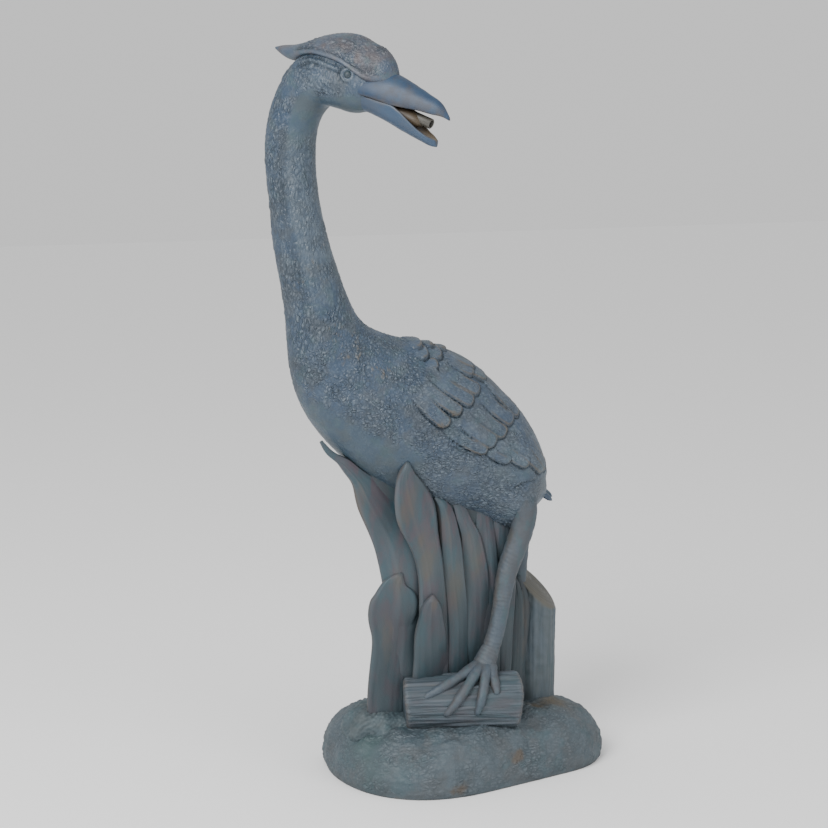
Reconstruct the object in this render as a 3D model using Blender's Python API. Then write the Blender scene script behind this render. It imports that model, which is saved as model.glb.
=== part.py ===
"""Heron pond spitter, in metres: a heron on a log among reeds, cast in one piece with a
stump and a rock base, the water tube in its beak, and the hose tail at the back."""

import math

import bpy
import numpy as np

# Driving sizes of the casting
BIRD_HEIGHT = 0.680
BASE_LENGTH = 0.286
BASE_DEPTH = 0.190
BASE_TOP = 0.062
LOG_LENGTH = 0.118
LOG_RADIUS = 0.0285
LOG_SUNK = 0.011
STUMP_RADIUS = 0.0235
STUMP_HEIGHT = 0.112

# Driving sizes of the tubes that sit in it
TUBE_RADIUS = 0.0048
TUBE_BORE = 0.0033
TUBE_SHOWN = 0.042
HOSE_RADIUS = 0.0065
HOSE_BORE = 0.0042
HOSE_SHOWN = 0.026
HOSE_HEIGHT = 0.019
BARB_RISE = 0.0013
SEAT_DEPTH = 0.014
SEAT_CLEARANCE = 0.0003
SEAT_RUNOUT = 0.004

# Mesh fineness
VOXEL = 0.0021
KEPT_FACES = 0.0275
SIDES = 16

# The bird and the reeds are drawn in millimetres on a bird 680 mm high. x and y are from
# the middle of the base, and z is from the rock's top.
FIGURE = BIRD_HEIGHT / 680.0
NECK_AT = np.array((-182.0, 0.0))
HEAD_TURN = math.radians(310)

# Trunk, from the tail to inside the bill: x, y, z, heading, pitch, half depth, half width
TRUNK = (
    (80, 0, 216, 180, 23, 15, 20),
    (60, 0, 231, 180, 14, 42, 38),
    (22, 0, 261, 180, 9, 65, 51),
    (-27, 0, 289, 180, 4, 78, 56),
    (-74, 0, 306, 180, 0, 78, 55),
    (-122, 0, 338, 180, 23, 61, 46),
    (-146, 0, 367, 180, 41, 49, 38),
    (-161, 0, 424, 180, 70, 31.5, 30),
    (-173, 0, 475, 180, 88, 27.5, 26.5),
    (-181, 0, 523, 190, 91, 24.3, 24.3),
    (-184, 1, 571, 230, 90, 24.5, 24.3),
    (-181, -2, 599, 280, 80, 25, 24.5),
    (-173, -10, 622, 300, 52, 25.5, 24.5),
    (-162, -24, 636, 308, 22, 26, 24.5),
    (-149, -40, 637, 310, 2, 27, 24.5),
    (-134, -57, 632, 310, -8, 26, 22.5),
    (-121, -73, 626, 310, -15, 18, 14),
)

# Feathered cap, along the head: place, height of its brow, rise above it, drop below it,
# half width
CAP = (
    (-18, 666, 1, 1, 1),
    (-9, 664, 4.5, 5, 6),
    (4, 662, 7, 8, 10.5),
    (16, 661.5, 9.5, 7, 15),
    (32, 662.5, 13, 6, 19.5),
    (50, 659.5, 19.5, 5.5, 22.5),
    (68, 653.5, 25.5, 6, 23.6),
    (80, 646.5, 29.5, 7, 22.8),
    (90, 640.5, 30.5, 7, 20.5),
    (99, 638, 29, 7, 17),
    (108, 638, 22, 6, 13),
    (113.5, 639, 12, 4, 7.5),
    (116, 640.5, 4, 2, 3),
)

# Mandibles, along the head: place, height of the edge, height of the crown or keel,
# half width, depth of the hollow inside
UPPER_BILL = (
    (84, 623, 645, 19, 0.5),
    (97, 620, 645, 18.5, 0.5),
    (113, 614.5, 643, 16.5, 2),
    (129, 611, 635.5, 13.5, 3),
    (143, 608.5, 628, 10.5, 3),
    (155, 605.5, 621, 7.5, 2),
    (164, 603.5, 613.5, 4.3, 1),
    (170, 600.5, 604, 1.3, 0.3),
)
LOWER_BILL = (
    (82, 624, 608, 15, 0.5),
    (90, 622.5, 605.5, 16.3, 0.5),
    (99, 620, 601.5, 16.4, 0.5),
    (110, 617.5, 596.3, 15.4, 1),
    (118, 615, 592.3, 14.4, 6),
    (126, 609, 588.3, 13.6, 9),
    (136, 599, 583.8, 12, 7),
    (145, 590.8, 579.8, 9.8, 4),
    (152, 586, 577.2, 7, 2),
    (156.5, 583, 576.8, 3, 0.5),
)
BILL_RIM = 2.2
TUBE_ENTRY = (112.0, 612.0)
TUBE_SLOPE = math.radians(-20.5)
EYE = (74.6, 19.8, 641.5, 4.0)

# Folded wing on the flank: its lower edge as x and z, and how far it stands off the body
WING_EDGE = ((-92, -80, -45, -4, 22, 67, 80), (366, 340, 299, 271, 260, 245, 236))
WING_RISE = 3.2

# Feathers of the wing: root x and z, tip x and z, half width, rise over the wing
FEATHERS = (
    (-80, 344, -45, 306, 7.4, 2.9), (-72, 350, -31, 316, 6.8, 2.7), (-60, 356, -16, 324, 7.0, 2.3),
    (-46, 360, -6, 333, 6.8, 1.8), (-36, 369, -6, 350, 6.4, 1.6), (-47, 304, -4, 277.5, 6.0, 2.3),
    (-32, 314, 6, 284, 8.4, 2.2), (-15, 318, 19, 291, 7.6, 1.8), (-5, 331, 30, 301, 7.4, 1.4),
    (6, 347, 41, 305, 7.0, 1.5), (-30, 374, 1, 355, 7.0, 1.9), (-22, 366, 11, 343, 7.0, 1.8),
    (-6, 282, 22, 265.5, 5.2, 1.3), (10, 284, 43, 259.5, 6.0, 1.5), (25, 289, 67, 251, 8.0, 1.7),
    (36, 298, 72, 249, 6.0, 1.8), (-71, 381, -55, 381, 7.5, 3.4), (-54, 380, -40, 379, 6.5, 3.2),
    (-40, 378, -26, 372.5, 6.5, 3.2), (-69, 371, -54, 372, 6.5, 2.8), (-52, 370, -38, 370.5, 6.5, 2.6),
    (-61, 361, -47, 361, 5.5, 2.2),
)

# Tail blades: root and tip (x, y, z), half width
TAIL = (
    ((48, 0, 246), (91, 0, 214), 8),
    ((46, 12, 244), (87, 9, 212), 8),
    ((46, -12, 244), (87, -9, 212), 8),
    ((50, 20, 264), (76, 17, 245), 8),
    ((50, -20, 264), (76, -17, 245), 8),
)
TAIL_THICKNESS = 4.0

# Reeds that show, from the tip down to the rock: x, y, z, half width
REEDS = (
    ((-160, -12, 290, 2), (-150, -12, 277, 5), (-139, -12, 269, 8), (-129, -12, 259, 10),
     (-120, -12, 249, 13), (-108, -14, 230, 22), (-97, -16, 213, 27), (-80, -18, 182, 29),
     (-71, -18, 145, 28), (-69, -14, 83, 26), (-69, -10, -20, 22)),
    ((-83, -47, 271, 1.5), (-83.5, -45, 260, 8), (-80, -42, 243, 17.5), (-72, -38, 220, 23.5),
     (-63, -34, 193, 18), (-55.5, -31, 169, 14.5), (-51, -28, 143, 14), (-48, -24, 110, 16),
     (-45, -19, 71, 16), (-44, -12, -20, 15)),
    ((-49.5, -32, 230, 2), (-43, -30, 224, 6.5), (-38, -28, 216, 8.5), (-33, -27, 196, 10.5),
     (-30, -26, 175, 12), (-27.5, -25, 154, 12), (-23, -22, 123, 12), (-20, -18, 82, 12),
     (-18, -12, -20, 12)),
    ((-40, -26, 229, 1), (-29, -25, 224, 4), (-24, -24, 219, 6.5), (-16.3, -24, 203, 9),
     (-9.8, -23, 189, 11), (-5.5, -22, 171, 13), (-2, -20, 151, 14.5), (1, -18, 119, 15),
     (1, -15, 88, 15), (0, -10, -20, 14)),
    ((6, -18, 214, 8), (8, -18, 190, 12), (12, -17, 150, 13), (16, -15, 110, 13),
     (18, -12, 69, 12), (20, -5, -20, 11)),
    ((27, -15, 216, 9), (29, -15, 190, 13), (30, -14, 155, 14), (32, -12, 110, 14),
     (32, -8, 67, 13), (32, -2, -20, 12)),
    ((-80, -20, 154, 3), (-86, -20, 143, 13), (-87, -20, 129, 23), (-89, -19, 112, 26),
     (-89, -17, 93, 23), (-91, -15, 70, 21), (-93, -13, 45, 20), (-93, -8, -20, 19)),
    ((-52, -34, 132, 1), (-52.5, -33, 124, 8), (-52.5, -31, 111, 12.5), (-52, -28, 96, 16),
     (-51, -25, 75, 18.5), (-50, -22, 60, 20), (-48, -14, -20, 20)),
    ((59, 12, 130, 1), (62, 12, 115, 6), (64, 12, 97, 8), (62, 12, 66, 8), (60, 12, -20, 8)),
    ((52, 4, 130, 2), (54, 4, 118, 5), (55, 4, 100, 7), (54, 4, 66, 8.5), (52, 4, -20, 8)),
)
REED_THICKNESS = 5.5

# Plainer reeds at the back: which of the reeds above they follow, sideways shift, height
BACK_REEDS = ((0, 40, 0.88), (1, 14, 0.86), (3, -4, 0.9), (6, 40, 0.95), (7, 44, 1.0))
BACK_TURN = 15.0

# Core of the clump, from the belly down: x, y, z, half width, half depth
CLUMP = (
    (-36, 0, 264, 84, 29),
    (-30, 1, 225, 78, 28),
    (-22, 3, 190, 66, 26),
    (-20, 4, 140, 60, 24),
    (-20, 6, 70, 62, 22),
    (-20, 8, 0, 64, 22),
    (-20, 8, -30, 64, 22),
)

# Legs, from the thigh down: x, y, z, radius
NEAR_LEG = ((32, -20, 256, 22), (43, -29, 228, 18), (48, -32, 207, 13), (42, -32, 184, 10.5),
            (30, -32, 153, 9.5), (23, -32, 119, 8), (18, -32, 92, 7.5), (12, -32, 72, 8))
FAR_LEG = ((40, 20, 246, 22), (57, 27, 208, 13), (66, 24, 182, 9.5), (66, 24, 150, 8.5),
           (64, 25, 110, 8), (60, 28, 60, 8), (56, 32, 8, 9))
FOOT_AT = (4.0, -34.0)
FOOT_RISE = 9.0
TOE_RADIUS = 5.2

# Toes on the log: end along the log, how far round it, and start along the log
TOES = ((-60, 62, -2), (-40, 104, 1), (-8, 104, 6), (13, 62, 9))

# Far foot on the rock: where it stands, the way its toes point, how long and how steep they are
FAR_FOOT = (56.0, 32.0, 6.0)
FAR_TOES = (20, 75, 130)
FAR_TOE_LENGTH = 34.0
FAR_TOE_DROP = 13.0

# Log and stump, placed on the rock in the same drawing
LOG_AT = (-20.0, -30.0)
LOG_TURN = math.radians(-13)
STUMP_AT = (84.0, 30.0)
STUMP_SLANT = 1.0

# Foot of the rock, as shares of its half length and half depth, how it heaps up, and where
# the broken ledge stands on it
ROCK_EDGE = (
    (1.0, -0.22), (0.8, -0.53), (0.52, -0.67), (0.02, -0.86), (-0.30, -0.94), (-0.58, -0.88),
    (-0.84, -0.6), (-0.99, -0.1), (-1.01, 0.35), (-0.9, 0.8), (-0.55, 0.98), (-0.05, 1.0),
    (0.45, 0.97), (0.84, 0.72), (1.02, 0.25),
)
ROCK_UNDERCUT = 0.03
ROCK_SHOULDER = 4.4
ROCK_DOME = 2.5
ROCK_HEAP = 0.2
LEDGE_AT = (-0.62, 0.05)
GROUND_DEPTH = 0.05

SLATE_BLUE = (0.075, 0.115, 0.155)
TUBE_GREY = (0.19, 0.20, 0.20)
HOSE_BLACK = (0.03, 0.03, 0.032)


def placed(points):
    """Real places of points drawn on the 680 mm bird."""
    return np.asarray(points, float) * FIGURE + (0.0, 0.0, BASE_TOP)


def smooth(knots, values, at):
    """Natural cubic through values at knots, read at the places in at."""
    knots, values = np.asarray(knots, float), np.asarray(values, float)
    gap = np.diff(knots)
    rise = np.diff(values, axis=0) / gap[:, None]
    count = len(knots)
    system = np.eye(count)
    right = np.zeros_like(values)
    for row in range(1, count - 1):
        system[row, row - 1:row + 2] = gap[row - 1], 2 * (gap[row - 1] + gap[row]), gap[row]
        right[row] = 6 * (rise[row] - rise[row - 1])
    bend = np.linalg.solve(system, right)
    left = np.clip(np.searchsorted(knots, at) - 1, 0, count - 2)
    span = gap[left][:, None]
    near = (knots[left + 1] - at)[:, None]
    far = (at - knots[left])[:, None]
    return (bend[left] * near ** 3 + bend[left + 1] * far ** 3) / (6 * span) + (
        values[left] / span - bend[left] * span / 6) * near + (
        values[left + 1] / span - bend[left + 1] * span / 6) * far


def along(table, rows):
    """A table of stations, read smoothly at evenly spaced places along its own path."""
    table = np.array(table, float)
    knots = np.r_[0, np.cumsum(np.linalg.norm(np.diff(table[:, :3], axis=0), axis=1))]
    return smooth(knots, table, np.linspace(0, knots[-1], rows))


def unit(vectors):
    """Vectors of length one."""
    return vectors / np.linalg.norm(vectors, axis=-1, keepdims=True)


def skin(name, rings):
    """Closed object over rings of points, its two ends filled."""
    rows, sides = rings.shape[:2]
    faces = [tuple(range(sides))[::-1], tuple((rows - 1) * sides + side for side in range(sides))]
    for row in range(rows - 1):
        for side in range(sides):
            after = (side + 1) % sides
            faces.append((row * sides + side, row * sides + after,
                          (row + 1) * sides + after, (row + 1) * sides + side))
    mesh = bpy.data.meshes.new(name)
    mesh.from_pydata(rings.reshape(-1, 3).tolist(), [], faces)
    shape = bpy.data.objects.new(name, mesh)
    bpy.context.collection.objects.link(shape)
    turn_out(mesh)
    return shape


def turn_out(mesh):
    """Flip a closed mesh whose faces point in."""
    mesh.calc_loop_triangles()
    spots = np.array([vertex.co for vertex in mesh.vertices])
    corners = spots[np.array([tuple(triangle.vertices) for triangle in mesh.loop_triangles])]
    volume = np.einsum("ij,ij->i", corners[:, 0], np.cross(corners[:, 1], corners[:, 2])).sum()
    if volume < 0:
        mesh.flip_normals()


def tube_rings(path, radius, sides=12):
    """Round rings square to a path, whose radius may change along it."""
    path = np.asarray(path, float)
    ahead = unit(np.gradient(path, axis=0))
    side = unit(np.cross(ahead, (0.31, 0.95, 0.02)))
    top = np.cross(side, ahead)
    turn = np.linspace(0, 2 * math.pi, sides, endpoint=False)[None, :, None]
    spread = np.broadcast_to(np.asarray(radius, float), len(path))[:, None, None]
    return path[:, None] + spread * (np.cos(turn) * side[:, None] + np.sin(turn) * top[:, None])


def wing_lift(x, z):
    """Height of the folded wing above the flank at places drawn from the side: a flat lift
    above its lower edge, and on it the feathers, each a strip with a round tip."""
    above = z - np.interp(x, *WING_EDGE)
    plateau = WING_RISE * np.clip((above + 1) / 6, 0, 1) * np.clip((x + 98) / 36, 0, 1)
    lift = np.zeros_like(x)
    for root_x, root_z, tip_x, tip_z, width, rise in FEATHERS:
        length = math.dist((root_x, root_z), (tip_x, tip_z))
        ahead = (tip_x - root_x) / length, (tip_z - root_z) / length
        run = (x - root_x) * ahead[0] + (z - root_z) * ahead[1]
        off = np.abs((z - root_z) * ahead[0] - (x - root_x) * ahead[1])
        past = np.maximum(run - (length - width), 0) + np.maximum(width - run, 0)
        inside = np.clip(1 - np.hypot(off, past) / width, 0, 1)
        crown = 1 - (1 - inside) ** 3
        lift = np.maximum(lift, rise * crown * np.clip(0.3 + 1.1 * run / length, 0, 1))
    return plateau + lift


def trunk():
    """Body, neck and skull as one bent spindle, with the folded wings raised on its flanks."""
    x, y, z, heading, pitch, depth, width = along(TRUNK, 150).T
    heading, pitch = np.radians(heading), np.radians(pitch)
    back = np.stack([-np.cos(heading) * np.sin(pitch), -np.sin(heading) * np.sin(pitch),
                     np.cos(pitch)], 1)[:, None]
    left = np.stack([-np.sin(heading), np.cos(heading), 0 * heading], 1)[:, None]
    turn = np.linspace(0, 2 * math.pi, 96, endpoint=False)[None, :, None]
    spoke = depth[:, None, None] * np.sin(turn) * back + width[:, None, None] * np.cos(turn) * left
    rings = np.stack([x, y, z], 1)[:, None] + spoke
    lift = wing_lift(rings[..., 0], rings[..., 2])
    return skin("trunk", placed(rings + unit(spoke) * lift[..., None]))


def on_head(place, side, height):
    """Points of the head's own drawing: place along the bill, side to its left, height."""
    ahead = np.array((math.cos(HEAD_TURN), math.sin(HEAD_TURN)))
    left = np.array((-ahead[1], ahead[0]))
    flat = NECK_AT + np.multiply.outer(place, ahead) + np.multiply.outer(side, left)
    return np.concatenate([flat, np.asarray(height, float)[..., None]], -1)


def cap():
    """Hood of feathers, from the crest at the nape to the forehead, its brow standing proud."""
    table = np.array(CAP, float)
    knots = table[:, 0]
    at = knots[0] + (knots[-1] - knots[0]) * (1 - np.cos(np.linspace(0, math.pi, 36))) / 2
    _, brow, rise, drop, width = smooth(knots, table, at).T[:, :, None]
    turn = np.linspace(0, 2 * math.pi, 36, endpoint=False)[None, :]
    height = np.where(np.sin(turn) > 0, rise, drop) * np.sin(turn)
    return skin("cap", placed(on_head(at[:, None] + 0 * turn, width * np.cos(turn), brow + height)))


def mandible(name, table):
    """Half of the bill: an arched shell between its edge and its crown or keel."""
    table = np.array(table, float)
    at = np.linspace(table[0, 0], table[-1, 0], 13)
    _, edge, crown, width, hollow = smooth(table[:, 0], table, at).T[:, :, None]
    turn = np.linspace(0, math.pi, 9)[None, :]
    rise = crown - edge
    inner = np.maximum(width - BILL_RIM, width * 0.4)
    outside = np.concatenate([width * np.cos(turn), edge + rise * np.sin(turn) ** 0.85], 1)
    back = turn[:, ::-1][:, 1:-1]
    inside = np.concatenate([inner * np.cos(back), edge + np.sign(rise) * hollow * np.sin(back)], 1)
    side = np.concatenate([outside[:, :9], inside[:, :7]], 1)
    height = np.concatenate([outside[:, 9:], inside[:, 7:]], 1)
    return skin(name, placed(on_head(at[:, None] + 0 * side, side, height)))


def eye(side):
    """Round eye under the brow."""
    place, out, height, radius = EYE
    turn = np.linspace(-0.5, 0.5, 9) * math.pi
    path = np.stack([place + 0 * turn, side * (out + radius * np.sin(turn)), height + 0 * turn], 1)
    centres = placed(on_head(path[:, 0], path[:, 1], path[:, 2]))
    return skin("eye", tube_rings(centres, np.maximum(radius * np.cos(turn), 0.05) * FIGURE))


def blade(name, table, thickness, rows=26):
    """Long leaf or feather: a thin lens with a rib down its face, along a bent path.
    A station is x, y, z, half width measured level."""
    x, y, z, width = along(table, rows).T
    path = np.stack([x, y, z], 1)
    ahead = unit(np.gradient(path, axis=0))
    across = unit(np.cross(ahead, (0.0, 1.0, 0.0)))
    out = np.cross(ahead, across)
    turn = np.linspace(0, 2 * math.pi, 12, endpoint=False)[None, :, None]
    width = np.maximum(width * np.abs(ahead[:, 2]), 0.6)[:, None, None]
    thick = np.minimum(width, thickness)
    rib = np.sign(np.sin(turn)) * np.abs(np.sin(turn)) ** 1.5
    rings = path[:, None] + width * np.cos(turn) * across[:, None] + thick * rib * out[:, None]
    return skin(name, placed(rings))


def tail():
    """Blades of the tail and the wing tips that stand past the trunk."""
    blades = []
    for root, tip, width in TAIL:
        middle = tuple((first + second) / 2 for first, second in zip(root, tip))
        table = (root + (width,), middle + (width,), tip + (width * 0.45,))
        blades.append(blade("tail", table, TAIL_THICKNESS, 8))
    return blades


def reeds():
    """Reeds in front, and plainer ones that follow them round the back."""
    leaves = [blade("reed", table, REED_THICKNESS) for table in REEDS]
    for which, shift, height in BACK_REEDS:
        table = [(x + shift, 2 * BACK_TURN - y, z * height if z > 0 else z, width)
                 for x, y, z, width in REEDS[which]]
        leaves.append(blade("reed", table, REED_THICKNESS))
    return leaves


def clump():
    """Core that the reeds grow from, which carries the belly."""
    x, y, z, width, depth = along(CLUMP, 24).T[:, :, None]
    turn = np.linspace(0, 2 * math.pi, 36, endpoint=False)[None, :]
    folds = 1 + 0.05 * np.cos(7 * turn)
    rings = np.stack([x + width * folds * np.cos(turn), y + depth * folds * np.sin(turn),
                      z + 0 * turn], -1)
    return skin("clump", placed(rings))


def log_point(place, turn, out):
    """Real points on the log: place along it as the x it would have if it lay straight, turn
    from its top towards the front, distance outside its bark."""
    radius = LOG_RADIUS + out
    middle = np.array(LOG_AT) * FIGURE
    run, across = place - middle[0], -radius * np.sin(turn)
    x = middle[0] + run * math.cos(LOG_TURN) - across * math.sin(LOG_TURN)
    y = middle[1] + run * math.sin(LOG_TURN) + across * math.cos(LOG_TURN)
    height = BASE_TOP + LOG_RADIUS - LOG_SUNK + radius * np.cos(turn)
    return np.stack(np.broadcast_arrays(x, y, height), -1)


def log():
    """Cut log lying on the rock, with furrowed bark and flat ends."""
    middle = LOG_AT[0] * FIGURE
    share = np.linspace(-0.5, 0.5, 30)[:, None]
    turn = np.linspace(0, 2 * math.pi, 60, endpoint=False)[None, :]
    bark = 0.0005 * np.sin(17 * turn + 2 * np.sin(5 * share)) + 0.0006 * np.sin(3 * turn + 4 * share)
    worn = -0.003 * np.clip((np.abs(share) - 0.47) / 0.03, 0, 1) ** 2
    place = middle + LOG_LENGTH * share + 0.0015 * np.sin(2 * turn) * np.sign(share)
    return skin("log", log_point(place, turn, bark + worn))


def stump():
    """Upright stump, its top sawn on the slant and worn round."""
    centre = np.array(STUMP_AT) * FIGURE
    turn = np.linspace(0, 2 * math.pi, 40, endpoint=False)[None, :]
    foot = -0.6 * BASE_TOP
    up = np.linspace(0, 1, 24)[:, None]
    bark = 1 + 0.015 * np.sin(9 * turn) + 0.01 * np.sin(5 * turn + 3 * up)
    side = [STUMP_RADIUS * bark, foot + (STUMP_HEIGHT - foot) * up]
    inward = np.linspace(1, 0.02, 9)[1:, None]
    worn = 0.25 * STUMP_RADIUS * np.sqrt(1 - inward ** 2)
    radius = np.concatenate([side[0] + 0 * up, STUMP_RADIUS * inward + 0 * turn])
    height = np.concatenate([side[1] + 0 * turn, STUMP_HEIGHT + worn + 0 * turn])
    share = np.clip((height - foot) / (STUMP_HEIGHT - foot), 0, 1) ** 6
    height = height - STUMP_SLANT * share * radius * np.cos(turn) * 0.8
    rings = np.stack([centre[0] + radius * np.cos(turn), centre[1] + radius * np.sin(turn),
                      BASE_TOP + height], -1)
    return skin("stump", rings)


def legs():
    """Both legs and their feet. The near foot grips the log, the far one is on the rock."""
    near = along(NEAR_LEG, 30)
    hub = log_point(FOOT_AT[0] * FIGURE, np.radians(-4), FOOT_RISE * FIGURE)
    path = np.vstack([placed(near[:, :3]), hub, hub - (0.002, 0.0, FOOT_RISE * FIGURE)])
    shapes = [skin("leg", tube_rings(path, np.r_[near[:, 3], 10.5, 10.0] * FIGURE))]
    step = np.linspace(0, 1, 12)
    for end, turn, start in TOES:
        round_log = np.radians(turn) * step
        place = (start + (end - start) * step) * FIGURE
        lifted = (FOOT_RISE * (1 - step) ** 1.5 - 0.3 * TOE_RADIUS) * FIGURE
        radius = TOE_RADIUS * (1.3 - 0.62 * step) * FIGURE
        shapes.append(skin("toe", tube_rings(log_point(place, round_log, lifted), radius)))
    far = along(FAR_LEG, 30)
    shapes.append(skin("leg", tube_rings(placed(far[:, :3]), far[:, 3] * FIGURE)))
    for angle in FAR_TOES:
        reach = FAR_TOE_LENGTH * step
        heading = math.radians(angle)
        toe = FAR_FOOT + np.stack([reach * math.cos(heading), reach * math.sin(heading),
                                   -FAR_TOE_DROP * step ** 1.5], 1)
        shapes.append(skin("toe", tube_rings(placed(toe), TOE_RADIUS * (1.1 - 0.4 * step) * FIGURE)))
    return shapes


def rock_edge(sides):
    """Foot of the rock seen from above, as a smooth closed line."""
    table = np.array(ROCK_EDGE + ROCK_EDGE[:1]) * (BASE_LENGTH / 2, BASE_DEPTH / 2)
    wrapped = np.vstack([table[-4:-1], table, table[1:4]])
    knots = np.r_[0, np.cumsum(np.linalg.norm(np.diff(wrapped, axis=0), axis=1))]
    at = np.linspace(knots[3], knots[-4], sides, endpoint=False)
    return smooth(knots, wrapped, at)


def rock():
    """Low rock, its sides bulging a little over the ground, its top a lumpy dome."""
    rise = np.linspace(0, math.pi / 2, 26)[:-1]
    height = np.r_[-0.012, -0.001, BASE_TOP * np.sin(rise) ** (2 / ROCK_DOME)]
    reach = np.r_[1, 1, np.cos(rise) ** (2 / ROCK_SHOULDER)]
    reach = reach * (1 - ROCK_UNDERCUT * np.exp(-np.maximum(height, 0) / 0.006))
    x, y = (reach[:, None, None] * rock_edge(96)).transpose(2, 0, 1)
    height = height[:, None]
    rough = (0.0022 * np.sin(61 * x + 2 * np.sin(43 * y)) * np.sin(53 * y + 1.3)
             + 0.0014 * np.sin(131 * x - 90 * y + 0.5) * np.sin(117 * y + 40 * x))
    heaped = ROCK_HEAP * np.clip(y / BASE_DEPTH - x / BASE_LENGTH, 0, 0.7) / 0.7
    height = height * (1 + heaped) + rough * np.clip(height / 0.02, 0, 1)
    return skin("rock", np.stack([x, y, height], -1))


def ledge():
    """Broken ledge of rock at the left, behind the reeds."""
    turn = np.linspace(0, 2 * math.pi, 36, endpoint=False)[None, :]
    rise = np.linspace(-math.pi / 2, math.pi / 2, 20)[:, None]
    broken = 1 + 0.07 * np.sin(4 * turn + 1) + 0.05 * np.sin(9 * turn)
    flat = 0.45 * BASE_LENGTH / 2
    spread = np.cos(rise) ** 0.6
    x = LEDGE_AT[0] * BASE_LENGTH / 2 + flat * 0.66 * spread * np.cos(turn) * broken
    y = LEDGE_AT[1] * BASE_DEPTH / 2 + flat * 0.62 * spread * np.sin(turn) * broken
    z = 0.78 * BASE_TOP + 0.42 * BASE_TOP * np.sin(rise) + 0.003 * np.sin(30 * x)
    return skin("ledge", np.stack(np.broadcast_arrays(x, y, z), -1))


def material(name, colour, roughness, metallic=0.0):
    """Principled material of one colour."""
    made = bpy.data.materials.new(name)
    made.use_nodes = True
    shader = made.node_tree.nodes["Principled BSDF"]
    shader.inputs["Base Color"].default_value = (*colour, 1.0)
    shader.inputs["Roughness"].default_value = roughness
    shader.inputs["Metallic"].default_value = metallic
    return made


def joined(name, shapes):
    """One object from several, still as separate shells."""
    corners, faces = [], []
    for shape in shapes:
        first = len(corners)
        corners.extend(tuple(vertex.co) for vertex in shape.data.vertices)
        faces.extend(tuple(first + corner for corner in face.vertices) for face in shape.data.polygons)
        bpy.data.objects.remove(shape)
    mesh = bpy.data.meshes.new(name)
    mesh.from_pydata(corners, [], faces)
    whole = bpy.data.objects.new(name, mesh)
    bpy.context.collection.objects.link(whole)
    return whole


def boolean(target, tool, operation):
    """Boolean of target with a hidden tool object."""
    tool.hide_render = True
    tool.display_type = "WIRE"
    cut = target.modifiers.new(tool.name, "BOOLEAN")
    cut.operation = operation
    cut.object = tool


def turned(name, profile, start, ahead):
    """Closed ring turned round the line from start: its profile is distance along, radius."""
    profile = np.array(profile, float)
    ahead = np.array(ahead, float)
    side = unit(np.cross(ahead, (0.0, 0.0, 1.0)))
    top = np.cross(side, ahead)
    turn = np.linspace(0, 2 * math.pi, SIDES, endpoint=False)[:, None, None]
    rings = (np.array(start) + profile[None, :, :1] * ahead
             + profile[None, :, 1:] * (np.cos(turn) * side + np.sin(turn) * top))
    count = len(profile)
    faces = []
    for step in range(SIDES):
        for point in range(count):
            after, above = (point + 1) % count, (step + 1) % SIDES
            faces.append((step * count + point, step * count + after,
                          above * count + after, above * count + point))
    mesh = bpy.data.meshes.new(name)
    mesh.from_pydata(rings.reshape(-1, 3).tolist(), [], faces)
    shape = bpy.data.objects.new(name, mesh)
    bpy.context.collection.objects.link(shape)
    turn_out(mesh)
    return shape


def seat(name, start, ahead, radius, length):
    """Solid cylinder that bores a seat."""
    ahead = np.array(ahead, float)
    path = np.array(start) + np.linspace(0, length, 3)[:, None] * ahead
    return skin(name, tube_rings(path, radius, SIDES))


def ground(depth):
    """Block whose top is the ground."""
    size = 2 * max(BASE_LENGTH, BASE_DEPTH)
    corners = np.array(((-1, -1), (1, -1), (1, 1), (-1, 1))) * size
    rings = [np.c_[corners, np.full(4, height)] for height in (-depth, 0.0)]
    return skin("ground", np.array(rings))


for thing in list(bpy.data.objects):
    bpy.data.objects.remove(thing)

statue = joined("heron_statue", [
    trunk(), cap(), eye(1), eye(-1), *tail(), *reeds(), clump(), *legs(), log(), stump(),
    rock(), ledge()])
fuse = statue.modifiers.new("fuse", "REMESH")
fuse.mode = "VOXEL"
fuse.voxel_size = VOXEL
thin = statue.modifiers.new("thin", "DECIMATE")
thin.ratio = KEPT_FACES
boolean(statue, mandible("upper_bill", UPPER_BILL), "UNION")
boolean(statue, mandible("lower_bill", LOWER_BILL), "UNION")
boolean(statue, ground(GROUND_DEPTH), "DIFFERENCE")

# Water tube in the throat. Its seat also clears the roof of the bill.
tube_ahead = on_head(math.cos(TUBE_SLOPE), 0.0, math.sin(TUBE_SLOPE)) - on_head(0.0, 0.0, 0.0)
tube_mouth = placed(on_head(TUBE_ENTRY[0], 0.0, TUBE_ENTRY[1]))
tube_back = tube_mouth - SEAT_DEPTH * tube_ahead
tube_length = SEAT_DEPTH + TUBE_SHOWN
boolean(statue, seat("tube_seat", tube_back, tube_ahead, TUBE_RADIUS + SEAT_CLEARANCE,
                     tube_length + SEAT_RUNOUT), "DIFFERENCE")
nozzle = turned("water_nozzle", (
    (SEAT_CLEARANCE, TUBE_BORE), (SEAT_CLEARANCE, TUBE_RADIUS),
    (tube_length, TUBE_RADIUS), (tube_length, TUBE_BORE)), tube_back, tube_ahead)

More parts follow.
